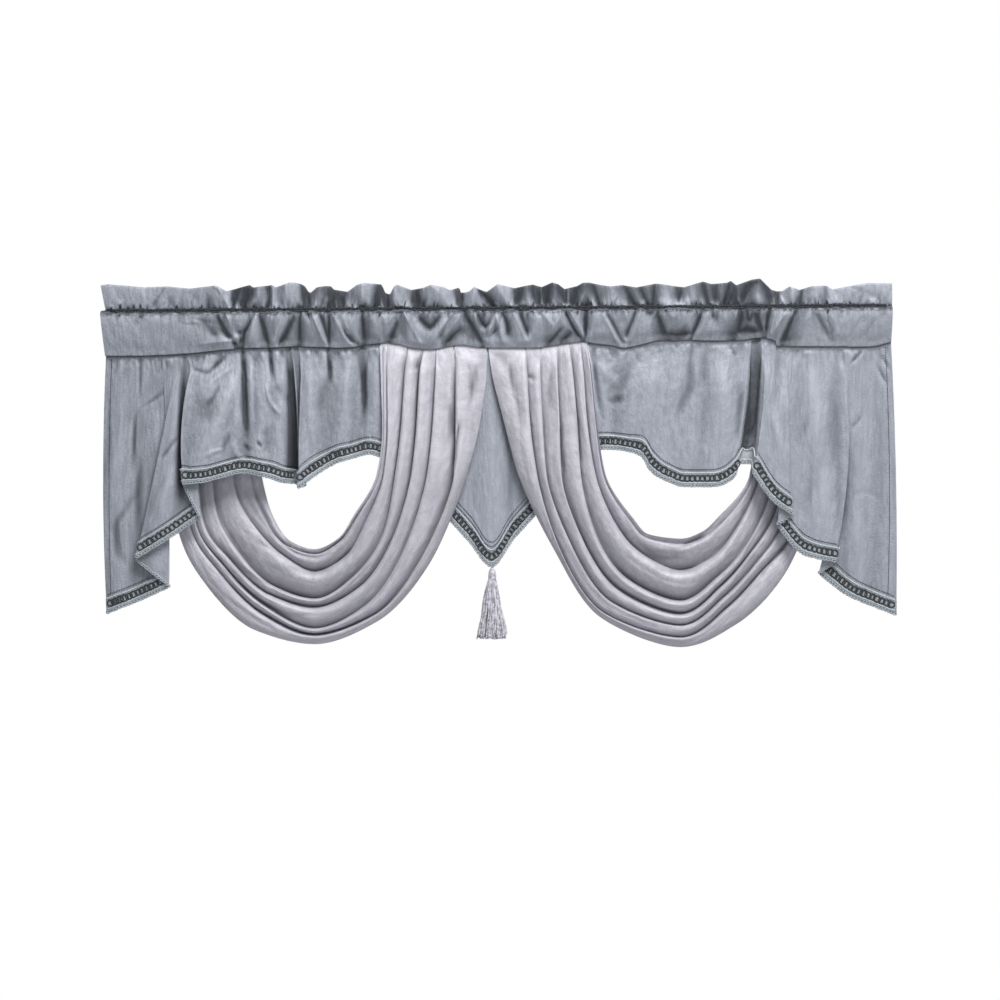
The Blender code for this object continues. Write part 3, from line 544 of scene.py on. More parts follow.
LEFT_SWAG_CREASES = (
    (1, 5, (
        (3.9, 2.3, 0.6, ((-41, -84), (-34, -109), (-36, -145))),
        (3.9, 1.9, 0.6, ((-23, -84), (-29, -119), (-41, -170))),
        (5.2, 1.9, 0, ((-67, -135), (-62, -170), (-69, -221))),
        (2.2, 6.5, 0, ((-48, -163), (-53, -196), (-58, -241))),
        (3.1, 1.9, 0.5, ((-100, -89), (-104, -109))),
    )),
    (5, 10, (
        (3.1, 2.3, 0.6, ((-316, -244), (-300, -284), (-283, -312))),
        (3.9, 1.9, 0.6, ((-328, -251), (-308, -287), (-275, -329))),
        (3.1, 2.3, 0.6, ((-293, -278), (-277, -307), (-265, -323))),
        (3.1, 1.9, 0.6, ((-214, -356), (-191, -338), (-173, -315))),
        (5.2, 2.3, 0, ((-275, -356), (-239, -364), (-204, -356))),
        (2.2, 1.9, 0.4, ((-350, -243), (-344, -281), (-324, -310), (-294, -331), (-269, -344))),
        (2.2, 1.9, 0.4, ((-294, -306), (-277, -323), (-256, -339), (-231, -344), (-210, -335))),
        (2.5, 2.1, 0.4, ((-366, -288), (-350, -331), (-316, -364), (-269, -390), (-227, -395))),
        (2.5, 1.9, -0.4, ((-375, -323), (-345, -364), (-303, -399), (-252, -420), (-210, -408))),
        (2.9, 1.9, 0.4, ((-392, -326), (-366, -373), (-319, -415), (-269, -441))),
        (2.3, 1.9, -0.4, ((-185, -364), (-159, -323), (-142, -281))),
        (2.3, 1.9, 0.4, ((-201, -390), (-167, -357), (-134, -306))),
    )),
)
RIGHT_SWAG_CREASES = (
    (1, 5, (
        (5.2, 3.4, 0, ((12, -84), (16, -109), (26, -155), (31, -196))),
        (2.9, 2.7, 0.6, ((37, -112), (48, -121))),
        (5.2, 2.3, 0, ((69, -97), (65, -135), (69, -170))),
        (5.2, 3, 0, ((96, -145), (101, -187), (104, -234))),
        (2.2, 6.1, 0, ((78, -175), (79, -208), (83, -246))),
    )),
    (5, 10, (
        (3.1, 2.7, 0.6, ((224, -335), (243, -325), (264, -315))),
        (2.9, 2.3, 0.6, ((164, -297), (180, -310), (199, -318))),
        (3.9, 2.3, 0.6, ((180, -329), (210, -344), (243, -343))),
        (3.9, 2.3, 0, ((192, -356), (225, -363), (261, -356))),
        (2.2, 1.9, 0.4, ((128, -271), (156, -302), (191, -334), (232, -339), (269, -325))),
        (2.5, 2.1, 0.4, ((105, -244), (137, -307), (178, -353), (232, -376), (277, -366))),
        (2.5, 1.9, -0.4, ((87, -235), (115, -302), (159, -366), (214, -398), (260, -403))),
        (2.2, 1.9, 0.4, ((305, -353), (332, -307), (350, -281))),
        (2.2, 1.9, -0.4, ((277, -344), (305, -302), (323, -262))),
        (2.5, 1.9, 0.4, ((323, -380), (350, -344), (373, -316))),
    )),
)
BRAID_PROFILE = (
    # share of the trim's width, how far it stands out
    (0.0, 0.1),
    (0.02, 0.7),
    (0.06, 1.0),
    (0.1, 0.75),
    (0.18, 0.7),
    (0.24, 0.6),
    (0.32, 0.75),
    (0.4, 0.9),
    (0.5, 0.95),
    (0.6, 0.9),
    (0.68, 0.75),
    (0.76, 0.6),
    (0.84, 0.7),
    (0.9, 0.75),
    (0.94, 1.0),
    (0.98, 0.7),
    (1.0, 0.1),
)
# Rows of stitches above the trim, as shares of its width from its upper edge.
TRIM_STITCHES = {"left": (-0.22,), "centre": (-0.16, -0.42), "right": (-0.22,)}
HEAD_PROFILE = (
    # z from the tassel's top, radius
    (-1.0, 0.6), (-3.0, 2.0), (-6.0, 3.7), (-9.5, 4.5), (-13, 4.7), (-16, 4.1), (-18, 4.6),
)

# Colours, as linear values. The last four are each a main colour and a paler one.
# Each cloth's first colour is the painted shade of its hollows; its paler colour gives its fleck and also its
# painted crest highlight and sheen.
SLATE_PAINTED_SHADE = (0.040, 0.045, 0.055)
SLATE = (0.365, 0.39, 0.455)
SLATE_PALE = (0.50, 0.535, 0.60)
SILVER_PAINTED_SHADE = (0.18, 0.175, 0.20)
SILVER = (0.58, 0.575, 0.65)
SILVER_PALE = (0.70, 0.69, 0.745)
BRAID_PALE = (0.55, 0.60, 0.64)
BRAID_SHADE = (0.24, 0.28, 0.31)
BRAID_MIDDLE = (0.42, 0.46, 0.49)
CORD_COLOURS = ((0.36, 0.41, 0.45), (0.60, 0.65, 0.69))
CHAIN_COLOURS = ((0.014, 0.019, 0.024), (0.06, 0.07, 0.08))
STITCH_COLOURS = ((0.012, 0.014, 0.019), (0.045, 0.05, 0.062))
TASSEL_COLOURS = ((0.36, 0.35, 0.40), (0.76, 0.75, 0.82))


# Shapes.

def eased(values, steps):
    """The rows of an array with steps between each two, smooth and never past the rows themselves."""
    values = np.asarray(values, float)
    rise = np.diff(values, axis=0)
    slopes = np.zeros_like(values)
    before, after = rise[:-1], rise[1:]
    product = before * after
    total = np.where(product > 0, before + after, 1.0)
    slopes[1:-1] = np.where(product > 0, 2 * product / total, 0.0)
    slopes[0], slopes[-1] = rise[0], rise[-1]
    rows = []
    for i in range(len(rise)):
        for step in range(steps):
            t = step / steps
            leave = t * (1 - t) ** 2
            arrive = t * t * (1 - t)
            rows.append(values[i] + rise[i] * smooth(t) + slopes[i] * leave - slopes[i + 1] * arrive)
    rows.append(values[-1])
    return np.array(rows)


def smooth(t):
    t = np.clip(t, 0.0, 1.0)
    return t * t * (3 - 2 * t)


def bell(t, power=2):
    return np.exp(-t ** power)


def seam_z(x):
    """Height of the seam under the rod pocket."""
    table = np.array(GATHERS)
    return np.interp(x, table[:, 1], table[:, 3])


def path_distance(x, z, path):
    """Distance of each point from a path, the side it lies on, and how far along the path it is, 0 to 1."""
    path = eased(path, 3 if len(path) > 2 else 1)
    lengths = np.linalg.norm(np.diff(path, axis=0), axis=1)
    nearest = np.full_like(x, 1e9)
    side = np.zeros_like(x)
    place = np.zeros_like(x)
    done = 0.0
    for start, end, length in zip(path[:-1], path[1:], lengths):
        along = (end - start) / length
        t = np.clip((x - start[0]) * along[0] + (z - start[1]) * along[1], 0.0, length)
        dx = x - start[0] - along[0] * t
        dz = z - start[1] - along[1] * t
        away = np.hypot(dx, dz)
        closer = away < nearest
        nearest = np.where(closer, away, nearest)
        side = np.where(closer, np.sign(along[0] * dz - along[1] * dx), side)
        place = np.where(closer, (done + t) / lengths.sum(), place)
        done += length
    return nearest, side, place


def crease_depth(x, z, creases, fade):
    """How far a set of creases pushes each point of a sheet away from the viewer."""
    depth = np.zeros_like(x)
    for width, dip, lean, path in creases:
        nearest, side, place = path_distance(x, z, path)
        ends = smooth(place / fade) * smooth((1 - place) / fade)
        reach = nearest / (width * (0.75 + 0.5 * place))
        depth += ends * bell(reach) * (dip - 2.33 * lean * side * reach)
    return depth


def placed_creases(x, z, place, creases, fade):
    """The depth of creases that each lie only between two folds or stations."""
    depth = np.zeros_like(x)
    for first, last, rows in creases:
        mask = smooth((place - first + 0.5) / 0.5) * smooth((last + 0.5 - place) / 0.5)
        depth += crease_depth(x, z, rows, fade) * mask
    return depth


def facet_depth(x, z, creases):
    """Crumpled cloth: nearly flat facets that slope between the trough lines and the ridge lines."""
    trough = np.full_like(x, FACET_REACH)
    ridge = np.full_like(x, FACET_REACH)
    for width, dip, lean, path in creases:
        nearest = path_distance(x, z, path)[0]
        if dip > 0:
            trough = np.minimum(trough, nearest)
        else:
            ridge = np.minimum(ridge, nearest)
    span = trough + ridge + 0.5
    return np.minimum(FACET_DEPTH, FACET_SLOPE * span) * (ridge - trough) / span


def drift(across, down, seed, depth, wide, tall):
    """The slow unevenness of hanging cloth: waves at least this wide and this tall."""
    pick = np.random.default_rng(seed)
    total = np.zeros_like(across)
    for k in range(26):
        size = pick.uniform(1.0, 4.5)
        turn = pick.uniform(-0.6, 0.6)
        phase = pick.uniform(0.0, 2 * math.pi)
        steps = across * math.cos(turn) / (wide * size) + down * math.sin(turn) / (tall * size)
        total += size * np.sin(2 * math.pi * steps + phase)
    return depth * total / 10


def ragged(x, seed, step, height):
    """An uneven line: random heights at an even step."""
    pick = np.random.default_rng(seed)
    places = np.arange(-520.0, 520.0 + step, step)
    return np.interp(x, places, pick.uniform(-height, height, len(places)))


def puckers(seed, count, span, height, widths, depth):
    """Short upright puckers, placed at random but the same each time: x, length, lean, half width and dip."""
    pick = np.random.default_rng(seed)
    rows = []
    for k in range(count):
        x = span[0] + (span[1] - span[0]) * (k + pick.uniform(0.0, 1.0)) / count
        long = height * pick.uniform(0.5, 1.3)
        lean = pick.uniform(-0.4, 0.4) * long
        wide = pick.uniform(*widths)
        dip = depth * pick.uniform(0.3, 1.0) * pick.choice((-1.0, 1.0))
        rows.append((x, long, lean, wide, dip))
    return rows


def pucker_depth(x, below, rows):
    """Depth of puckers that run down from a stitched line, where below is the distance under that line."""
    depth = np.zeros_like(x)
    for start, long, lean, wide, dip in rows:
        t = below / long
        held = np.clip(t, 0, 1)
        swell = np.where((t > 0) & (t < 1), np.sin(math.pi * held ** 0.6), 0.0)
        depth += dip * swell * bell((x - start - lean * t) / (wide * (0.6 + 0.8 * held)))
    return depth


def seam_puckers(x, drop, seed, height, widths, depth):
    """Depth of the puckers under the pocket's seam, one for about each 6 mm of it."""
    span = (x[0].min(), x[0].max())
    count = int((span[1] - span[0]) / 6)
    return pucker_depth(x, drop, puckers(seed, count, span, height, widths, depth))


def blurred(values, reach):
    """Each row's running mean over some columns on both sides."""
    padded = np.concatenate([values[:, :1]] * reach + [values] + [values[:, -1:]] * reach, axis=1)
    total = np.cumsum(np.concatenate([np.zeros_like(padded[:, :1]), padded], axis=1), axis=1)
    return (total[:, 2 * reach + 1:] - total[:, :-2 * reach - 1]) / (2 * reach + 1)


def hollows(grid, strength=1.0):
    """Painted shade, 0 on the crests of folds and 1 deep in their hollows, by how each point lies against its
    neighbours.
    """
    y = grid[:, :, 1]
    near = y - blurred(y, 4)
    wide = y - blurred(blurred(y, 10), 6)
    return np.clip(LEVEL_TONE + strength * (near * 0.15 + wide * 0.06), 0.0, 1.0)


def link_object(name, data):
    made = bpy.data.objects.new(name, data)
    bpy.context.scene.collection.objects.link(made)
    return made


def sheet_piece(name, grid, material, tones=None):
    """A cloth sheet from a grid of points, front face towards -Y where the columns run with +X. Its weave is
    laid out by the distances along the cloth, and its tones give painted shade in its hollows and a painted
    highlight on its crests."""
    rows, columns = grid.shape[:2]
    firsts = [i * columns + j for i in range(rows - 1) for j in range(columns - 1)]
    faces = [(a, a + columns, a + columns + 1, a + 1) for a in firsts]
    mesh = bpy.data.meshes.new(name)
    mesh.from_pydata((grid.reshape(-1, 3) * MM).tolist(), [], faces)
    steps_down = np.linalg.norm(np.diff(grid, axis=0), axis=2).mean(axis=1)
    steps_across = np.linalg.norm(np.diff(grid, axis=1), axis=2).mean(axis=0)
    down = np.concatenate([[0], np.cumsum(steps_down)])
    across = np.concatenate([[0], np.cumsum(steps_across)])
    places = np.stack(np.broadcast_arrays(across[None, :], down[:, None]), 2).reshape(-1, 2) * MM
    corners = np.empty(len(mesh.loops), np.int32)
    mesh.loops.foreach_get("vertex_index", corners)
    weave = mesh.uv_layers.new(name="weave")
    weave.uv.foreach_set("vector", places[corners].ravel())
    # The tones are stored as an attribute of painted shade and painted highlight.
    if tones is not None:
        painted_fold_shading = mesh.attributes.new("painted_fold_shading", "FLOAT", "POINT")
        painted_fold_shading.data.foreach_set("value", tones.ravel().astype(np.float32))
    mesh.materials.append(material)
    mesh.shade_smooth()
    return link_object(name, mesh)


def heading_sheet():
    """The strip folded over the rod: up the front, over the ruffle's edge and down the back."""
    table = eased(GATHERS, HEADING_STEPS)
    profile = eased(POCKET_PROFILE, POCKET_STEPS)
    ruffle_rows = eased([(0.0, -1.3, 0.0)] + list(RUFFLE_PROFILE) + [(1.0, -0.9, 1.15)], RUFFLE_STEPS)[1:]
    top_x, seam_x, top_z, low_z, ruffle, gather = table.T
    edge = np.array(TOP_EDGE)
    top_z = np.interp(top_x, edge[:, 0], edge[:, 1])
    stitch = STITCH_Z + STITCH_RISE * top_x + ragged(top_x, 41, 4.0, 0.7)
    rows = []
    for share, y, part in profile:
        x = seam_x + (top_x - seam_x) * share
        rows.append(np.stack([x, y + part * gather, low_z + (stitch - low_z) * share], 1))
    for share, y, part in ruffle_rows:
        inset = 6.5 * (1 - share) * bell((top_x + 505) / 9)
        z = stitch + (top_z - stitch) * share
        rows.append(np.stack([top_x + inset, y + part * ruffle * 1.5, z], 1))
    front = np.array(rows)
    x = front[:, :, 0]
    z = front[:, :, 2]
    below = stitch[None] - z
    above_seam = z - low_z[None]
    gathered = 0.12 + 0.88 * smooth((x + 400) / 60) * smooth((425 - x) / 60)
    push = facet_depth(x, z, HEADING_CREASES) * gathered * np.where(below > 0, 1.25, 1.6)
    push += 0.5 * crease_depth(x, z, HEADING_CREASES, 0.12)
    push += pucker_depth(x, below, puckers(3, 190, HEADING_SPAN, 19, (1.1, 2.4), 2.1))
    push += pucker_depth(x, -below, puckers(5, 170, HEADING_SPAN, 17, (1.1, 2.8), 2.1))
    push += pucker_depth(x, above_seam, puckers(9, 130, HEADING_SPAN, 12, (1.6, 3.6), 0.8))
    push += drift(x, z, 6, 0.3, 9.0, 14.0) * gathered
    push = DEEPEST_PUSH * np.tanh(push / DEEPEST_PUSH)
    held = smooth(np.abs(below) / 1.6) * (0.12 + 0.88 * smooth(above_seam / 9))
    front[:, :, 1] += push * held

    flat = np.concatenate([profile[:, 1], ruffle_rows[:, 1]])[:, None]
    doubled = (np.arange(len(front)) >= len(profile))[:, None]
    wave = front[:, :, 1] - flat
    back = front.copy()
    back[:, :, 1] = np.where(doubled, wave - flat, -flat - wave * BACK_SHARE)
    back = back[list(range(len(front) - 3, 0, -3)) + [0]]
    back[-1, :, 1] = BACK_LAYER + 1.5
    whole = np.concatenate([front, back])

    # Painted shade: a dark band along the stitching with dark teeth above and below where the gathers shade
    # it, and a dark line along the seam under the pocket.
    band = 1.1 * bell((below - 1.4) / (4.2 + ragged(x, 42, 2.2, 2.2)), 4)
    under = 0.7 * bell((below - 5.6) / 3.0)
    teeth = puckers(44, 200, HEADING_SPAN, 13, (0.9, 1.9), 1.5)
    up = np.abs(pucker_depth(x, 2.0 - below, teeth))
    down = np.abs(pucker_depth(x, below + 1.0, teeth[::2]))
    stitch_line_painted_shade = np.maximum(np.maximum(band, under), up + down)
    seam_painted_shade = 0.85 * bell(above_seam / (1.1 + ragged(x, 43, 5.0, 0.5)))
    # Painted shade also deepens where the crumpled cloth is pushed back.
    tones = hollows(whole)
    shown = tones[:len(front)]
    shown[:] = np.maximum(np.maximum(shown, 0.34 + 0.16 * push), np.maximum(stitch_line_painted_shade, seam_painted_shade))
    # More painted shade on the ruffle's left and less on its right.
    ruffle_painted_shade = 0.08 - 0.14 * smooth((top_x - 90) / 60)
    tones += np.where(whole[:, :, 2] > stitch[None], ruffle_painted_shade, 0.0)
    return whole, tones


def trim_height(hem):
    """How far up each fold line the trim reaches, so that it keeps its width on a slanting hem."""
    along = np.gradient(hem, axis=0)
    level = np.hypot(along[:, 0], along[:, 1])
    length = np.maximum(np.linalg.norm(along, axis=1), 1e-6)
    tall = BRAID_WIDE / np.clip(level / length, 0.72, 1.0)
    return blurred(tall[None], 5)[0]


def hanging_sheet(folds, start_y, down, creases, seed, painted_shade_offset=0.0):
    """A piece that hangs from the seam, with its creases: its points and the painted shade of its hollows and
    under the seam.
    """
    table = eased([row[1:] for row in folds], FOLD_STEPS)
    x_top, x_mid, x_hem, z_hem, y_mid, y_hem = table.T
    lip = seam_z(x_top) - SEAM_LIP
    trim = trim_height(np.stack([x_hem, y_hem, z_hem], 1)) / (lip - z_hem)
    free = np.linspace(0, 1, down)[:, None] ** 1.15 * (1 - trim)
    shares = np.concatenate([free, [1 - trim * 0.5, np.ones_like(trim)]])
    bow = 4 * (x_mid - (x_top + x_hem) / 2)
    x = x_top + (x_hem - x_top) * shares + bow * shares * (1 - shares)
    y = start_y + (y_mid - start_y) * smooth(shares / 0.38)
    y = y + (y_hem - y_mid) * smooth((shares - 0.3) / 0.7)
    z = lip + (z_hem - lip) * shares
    place = np.broadcast_to(np.arange(len(x_top)) / FOLD_STEPS, x.shape)
    folded = placed_creases(x, z, place, creases, 0.4)
    drop = lip[None] - z
    push = folded + seam_puckers(x, drop, seed, 20, (1.5, 3.4), 1.8) + drift(x, z, seed, 0.5, 14.0, 60.0)
    y = np.minimum(y + push * smooth(drop / 6), start_y + 0.4 + 0.06 * drop)
    grid = np.stack([x, y, z], 2)
    # Painted shade: darker in hollows and creases, shifted by the given offset, which darkens the left skirt
    # and lightens the pennant, and a ragged dark band just under the seam where the pocket shades the skirt.
    tones = hollows(grid, 0.85) + 0.04 * folded + painted_shade_offset
    tones += 0.3 * bell(drop / (3.0 + ragged(x, 40 + seed, 3.0, 2.4)))
    tuck = grid[:1].copy()
    tuck[0, :, 1] = start_y
    tuck[0, :, 2] = seam_z(x_top) + TUCK
    return np.concatenate([tuck, grid]), np.clip(np.concatenate([tones[:1], tones]), 0.0, 1.0)


def swag_section(folds, station, steps):
    """Places across and heights of one station: each fold rises steeply from its valley to a rounded edge
    that leans over the valley by some share of the fold, then falls slowly to the next valley."""
    lean, edge, deeper = SWAG_LEANS[station]
    t = np.arange(steps) / steps
    even = min(0.35, (deeper - 1) / 3)
    fall = (1 - even) * (1 - np.cos(t * math.pi / 2)) ** 1.15 + even * t
    valleys = [fold[0][station] for fold in folds] + [1.0]
    lows = [fold[1] for fold in folds] + [SWAG_EDGE_Y[1]]
    places = [valleys[0] * t]
    heights = [SWAG_EDGE_Y[0] + (lows[0] - SWAG_EDGE_Y[0]) * fall]
    for n, fold in enumerate(folds):
        span = valleys[n + 1] - valleys[n]
        roll = fold[2]
        crest = valleys[n] + span * edge
        places.append(valleys[n] + span * (edge * t * t - lean * np.sin(math.pi * t)))
        heights.append(lows[n] + (roll - lows[n]) * np.sin(math.pi * t / 2))
        places.append(crest + (valleys[n + 1] - crest) * t)
        heights.append(roll + (lows[n + 1] - roll) * fall)
    places.append([1.0])
    heights.append([SWAG_EDGE_Y[1]])
    return np.concatenate(places), np.concatenate(heights) * deeper


def swag_sheet(stations, folds, creases, seed):
    """A swag: stations run down one arm, round the foot and up the other, and folds lie across."""
    net = []
    for k, (name, in_x, in_z, out_x, out_z, base, share) in enumerate(stations):
        places, heights = swag_section(folds, k, SWAG_STEPS_ACROSS)
        x = in_x + (out_x - in_x) * places
        z = in_z + (out_z - in_z) * places
        net.append(np.stack([x, base + share * heights, z], 1))
    net = np.array(net)
    for end in (0, -1):
        net[end, :, 2] = seam_z(net[end, :, 0]) - SEAM_LIP
    grid = eased(net, SWAG_STEPS_ALONG)
    x = grid[:, :, 0]
    z = grid[:, :, 2]
    place = np.broadcast_to((np.arange(len(grid)) / SWAG_STEPS_ALONG)[:, None], x.shape)
    folded = placed_creases(x, z, place, creases, 0.3)
    across = np.broadcast_to(np.linspace(0.0, 170.0, x.shape[1])[None, :], x.shape)
    drop = seam_z(x) - SEAM_LIP - z
    push = folded + drift(across, place * STATION_GAP, seed, 0.8, 7.0, 60.0)
    push += seam_puckers(x, drop, seed, 22, (1.8, 4.0), 1.3) * (place < FOOT_STATION)
    grid[:, :, 1] += push * smooth(drop / 10) * (1 - 0.8 * smooth((place - 7.5) / 2))
    arm = smooth(np.abs(place - FOOT_STATION) / 3.5 - 0.4)
    # Painted shade in the hollows and creases, with more of it round the foot to dim its upturned crests.
    tones = hollows(grid, 0.22 + 0.6 * arm) + 0.05 * folded + 0.17 * (1 - arm)
    tucks = grid[[0, -1]].copy()
    tucks[:, :, 2] = seam_z(tucks[:, :, 0]) + TUCK
    tones = np.clip(np.concatenate([tones[:1], tones, tones[-1:]]), 0.0, 1.0)
    return np.concatenate([tucks[:1], grid, tucks[1:]]), tones


def unit(v):
    return v / np.maximum(np.linalg.norm(v, axis=-1), 1e-9)[..., None]


def trim_frame(grid):
    """Points of the trim's upper edge and hem, and the way out of the cloth at each."""
    upper = grid[-3]
    hem = grid[-1]
    sides = unit(np.diff((upper + hem) / 2, axis=0))
    before = np.concatenate([sides[:1], sides])
    after = np.concatenate([sides, sides[-1:]])
    out = unit(np.cross(hem - upper, before + after))
    kernel = np.array([1, 2, 3, 2, 1]) / 9
    padded = np.concatenate([out[:1]] * 2 + [out] + [out[-1:]] * 2)
    out = unit(sum(k * padded[i:i + len(out)] for i, k in enumerate(kernel)))
    return upper, hem, out


def trim_line(frame_lines, share, rise):
    """A line along the trim, some share of its width down, standing out by rise."""
    upper, hem, out = frame_lines
    return upper + (hem - upper) * share + out * (CLOTH / 2 + GAP + rise)


def trim_path(frame_lines, share, rise):
    """The same line for a growth, a little short of both ends, with the way out of the cloth."""
    return trim_line(frame_lines, share, rise)[1:-1], frame_lines[2][1:-1]


def seen_parts(path, margin):
    """The parts of a path where the trim faces the room, without its turns round the folds."""
    line, out = path
    seen = out[:, 1] < -0.5
    parts = []
    start = None
    for i, shows in enumerate(list(seen) + [False]):
        if shows and start is None:
            start = i
        if not shows and start is not None:
            part = line[start:i]
            run = np.concatenate([[0.0], np.cumsum(np.linalg.norm(np.diff(part, axis=0), axis=1))])
            kept = (run >= margin) & (run <= run[-1] - margin)
            if kept.sum() > 2 and run[-1] > 4 * margin:
                parts.append((part[kept], out[start:i][kept]))
            start = None
    return parts


def seen_lines(frame_lines, shares, rise, margin):
    """The parts that show of some lines along the trim."""
    return [part for share in shares for part in seen_parts(trim_path(frame_lines, share, rise), margin)]


def side_seam(points, inset):
    """A path down a skirt's outer side, some way in from its edge."""
    middle = points[len(points) // 2, :, 0]
    column = int(np.argmin(np.abs(middle - middle[0 if inset > 0 else -1] - inset)))
    return points[3:-4, column] + FORWARD * 0.25, FORWARD


# Shader groups and materials.

def node(tree, kind, inputs=(), **settings):
    """A new node with its settings. Each input is a constant or the output that feeds it."""
    made = tree.nodes.new(kind)
    for name, value in settings.items():
        setattr(made, name, value)
    for key, value in dict(inputs).items():
        if isinstance(value, bpy.types.NodeSocket):
            tree.links.new(value, made.inputs[key])
        else:
            made.inputs[key].default_value = value
    return made


def math_node(tree, operation, *values):
    return node(tree, "ShaderNodeMath", enumerate(values), operation=operation).outputs[0]


def scaled(tree, vector, x, y):
    return node(tree, "ShaderNodeVectorMath", {0: vector, 1: (x, y, 1.0)}, operation="MULTIPLY").outputs[0]


def noise(tree, vector, scale, detail):
    inputs = {"Vector": vector, "Scale": scale, "Detail": detail}
    return node(tree, "ShaderNodeTexNoise", inputs).outputs["Fac"]


def bands(tree, vector, direction, scale, distortion):
    inputs = {"Vector": vector, "Scale": scale, "Distortion": distortion, "Detail": 1.0}
    waves = node(tree, "ShaderNodeTexWave", inputs, wave_type="BANDS", bands_direction=direction)
    return waves.outputs["Fac"]


def mixed(tree, factor, first, second):
    """A colour between two, each given as three numbers or as an output."""
    first, second = ((*c, 1.0) if isinstance(c, tuple) else c for c in (first, second))
    return node(tree, "ShaderNodeMix", {"Factor": factor, 6: first, 7: second}, data_type="RGBA").outputs[2]


def ramp(tree, value, low, high):
    inputs = {"Value": value, "From Min": low, "From Max": high}
    return node(tree, "ShaderNodeMapRange", inputs).outputs["Result"]


def shaded(colour, share):
    return tuple(share * part for part in colour)


def weave_group():
    """Threads of the cloth, from its flat coordinates in metres: a height, a fleck, a mottle and streaks."""
    tree = bpy.data.node_groups.new("cloth_weave", "ShaderNodeTree")
    tree.interface.new_socket("Vector", in_out="INPUT", socket_type="NodeSocketVector")
    for label in ("Height", "Fleck", "Mottle", "Streak"):
        tree.interface.new_socket(label, in_out="OUTPUT", socket_type="NodeSocketFloat")
    vector = tree.nodes.new("NodeGroupInput").outputs["Vector"]
    weft = bands(tree, vector, "Y", 560.0, 1.2)
    warp = bands(tree, vector, "X", 380.0, 1.0)
    slub = noise(tree, scaled(tree, vector, 90.0, 1400.0), 1.0, 3.0)
    crinkle = noise(tree, scaled(tree, vector, 170.0, 60.0), 1.0, 5.0)
    ribs = math_node(tree, "ADD", weft, math_node(tree, "MULTIPLY", warp, 0.25))
    threads = math_node(tree, "ADD", ribs, slub)
    node(tree, "NodeGroupOutput", {
        "Height": math_node(tree, "ADD", threads, math_node(tree, "MULTIPLY", crinkle, 70.0)),
        "Fleck": noise(tree, scaled(tree, vector, 260.0, 900.0), 1.0, 4.0),
        "Mottle": noise(tree, vector, 85.0, 6.0),
        "Streak": noise(tree, scaled(tree, vector, 150.0, 24.0), 1.0, 5.0),
    })
    return tree


def principled(name, roughness, metallic, sheen, sheen_roughness):
    material = bpy.data.materials.new(name)
    material.use_nodes = True
    shader = material.node_tree.nodes["Principled BSDF"]
    for label, value in (("Roughness", roughness), ("Metallic", metallic), ("Specular IOR Level", 0.38),
                         ("Sheen Weight", sheen), ("Sheen Roughness", sheen_roughness)):
        shader.inputs[label].default_value = value
    return material, material.node_tree, shader


def dress(tree, shader, colour, height, strength, distance):
    """Gives a shader its colour and its bumps."""
    bump = node(tree, "ShaderNodeBump", {"Height": height, "Strength": strength, "Distance": distance})
    tree.links.new(colour, shader.inputs["Base Color"])
    tree.links.new(bump.outputs["Normal"], shader.inputs["Normal"])


def satin(name, deep, main, pale, roughness):
    """Satin: threads, a fleck, a mottle, streaks, painted shade in the hollows, a painted highlight on the
    crests and a painted paler sheen at grazing angles.
    """
    material, tree, shader = principled(name, roughness, 0.1, 0.3, 0.35)
    place = node(tree, "ShaderNodeUVMap", uv_map="weave").outputs["UV"]
    threads = node(tree, "ShaderNodeGroup", node_tree=WEAVE)
    tree.links.new(place, threads.inputs["Vector"])
    painted_fold_shading = node(tree, "ShaderNodeAttribute", attribute_name="painted_fold_shading").outputs["Fac"]
    mottle, fleck, streak = (threads.outputs[label] for label in ("Mottle", "Fleck", "Streak"))
    body = mixed(tree, ramp(tree, mottle, 0.35, 0.65), main, shaded(main, 0.79))
    flecked = mixed(tree, math_node(tree, "MULTIPLY", ramp(tree, fleck, 0.40, 0.68), 0.6), body, pale)
    streaked = mixed(tree, ramp(tree, streak, 0.32, 0.55), shaded(main, 0.84), flecked)
    # Painted light from the fold shading tones: a paler painted highlight on the crests and the painted shade
    # colour deep in the hollows, then a paler painted sheen where the surface turns away from the view.
    painted_crest_highlight = math_node(tree, "MULTIPLY", ramp(tree, painted_fold_shading, 0.36, 0.05), 0.35)
    hollow = mixed(tree, ramp(tree, painted_fold_shading, 0.42, 0.95), mixed(tree, painted_crest_highlight, streaked, pale), deep)
    graze = node(tree, "ShaderNodeLayerWeight", {"Blend": 0.25}).outputs["Facing"]
    lit = mixed(tree, math_node(tree, "MULTIPLY", graze, 0.35), hollow, pale)
    rough = math_node(tree, "MULTIPLY_ADD", fleck, 0.12, roughness - 0.06)
    tree.links.new(rough, shader.inputs["Roughness"])
    dress(tree, shader, lit, threads.outputs["Height"], 0.3, 0.00012)
    return material


def thread_material(name, main, pale, roughness, metallic, size, sheen=0.3):
    """Twisted yarn, read from the piece's place in metres."""
    material, tree, shader = principled(name, roughness, metallic, sheen, 0.4)
    twist = noise(tree, node(tree, "ShaderNodeTexCoord").outputs["Object"], size, 2.0)
    dress(tree, shader, mixed(tree, ramp(tree, twist, 0.35, 0.65), main, pale), twist, 0.5, 0.0002)
    return material


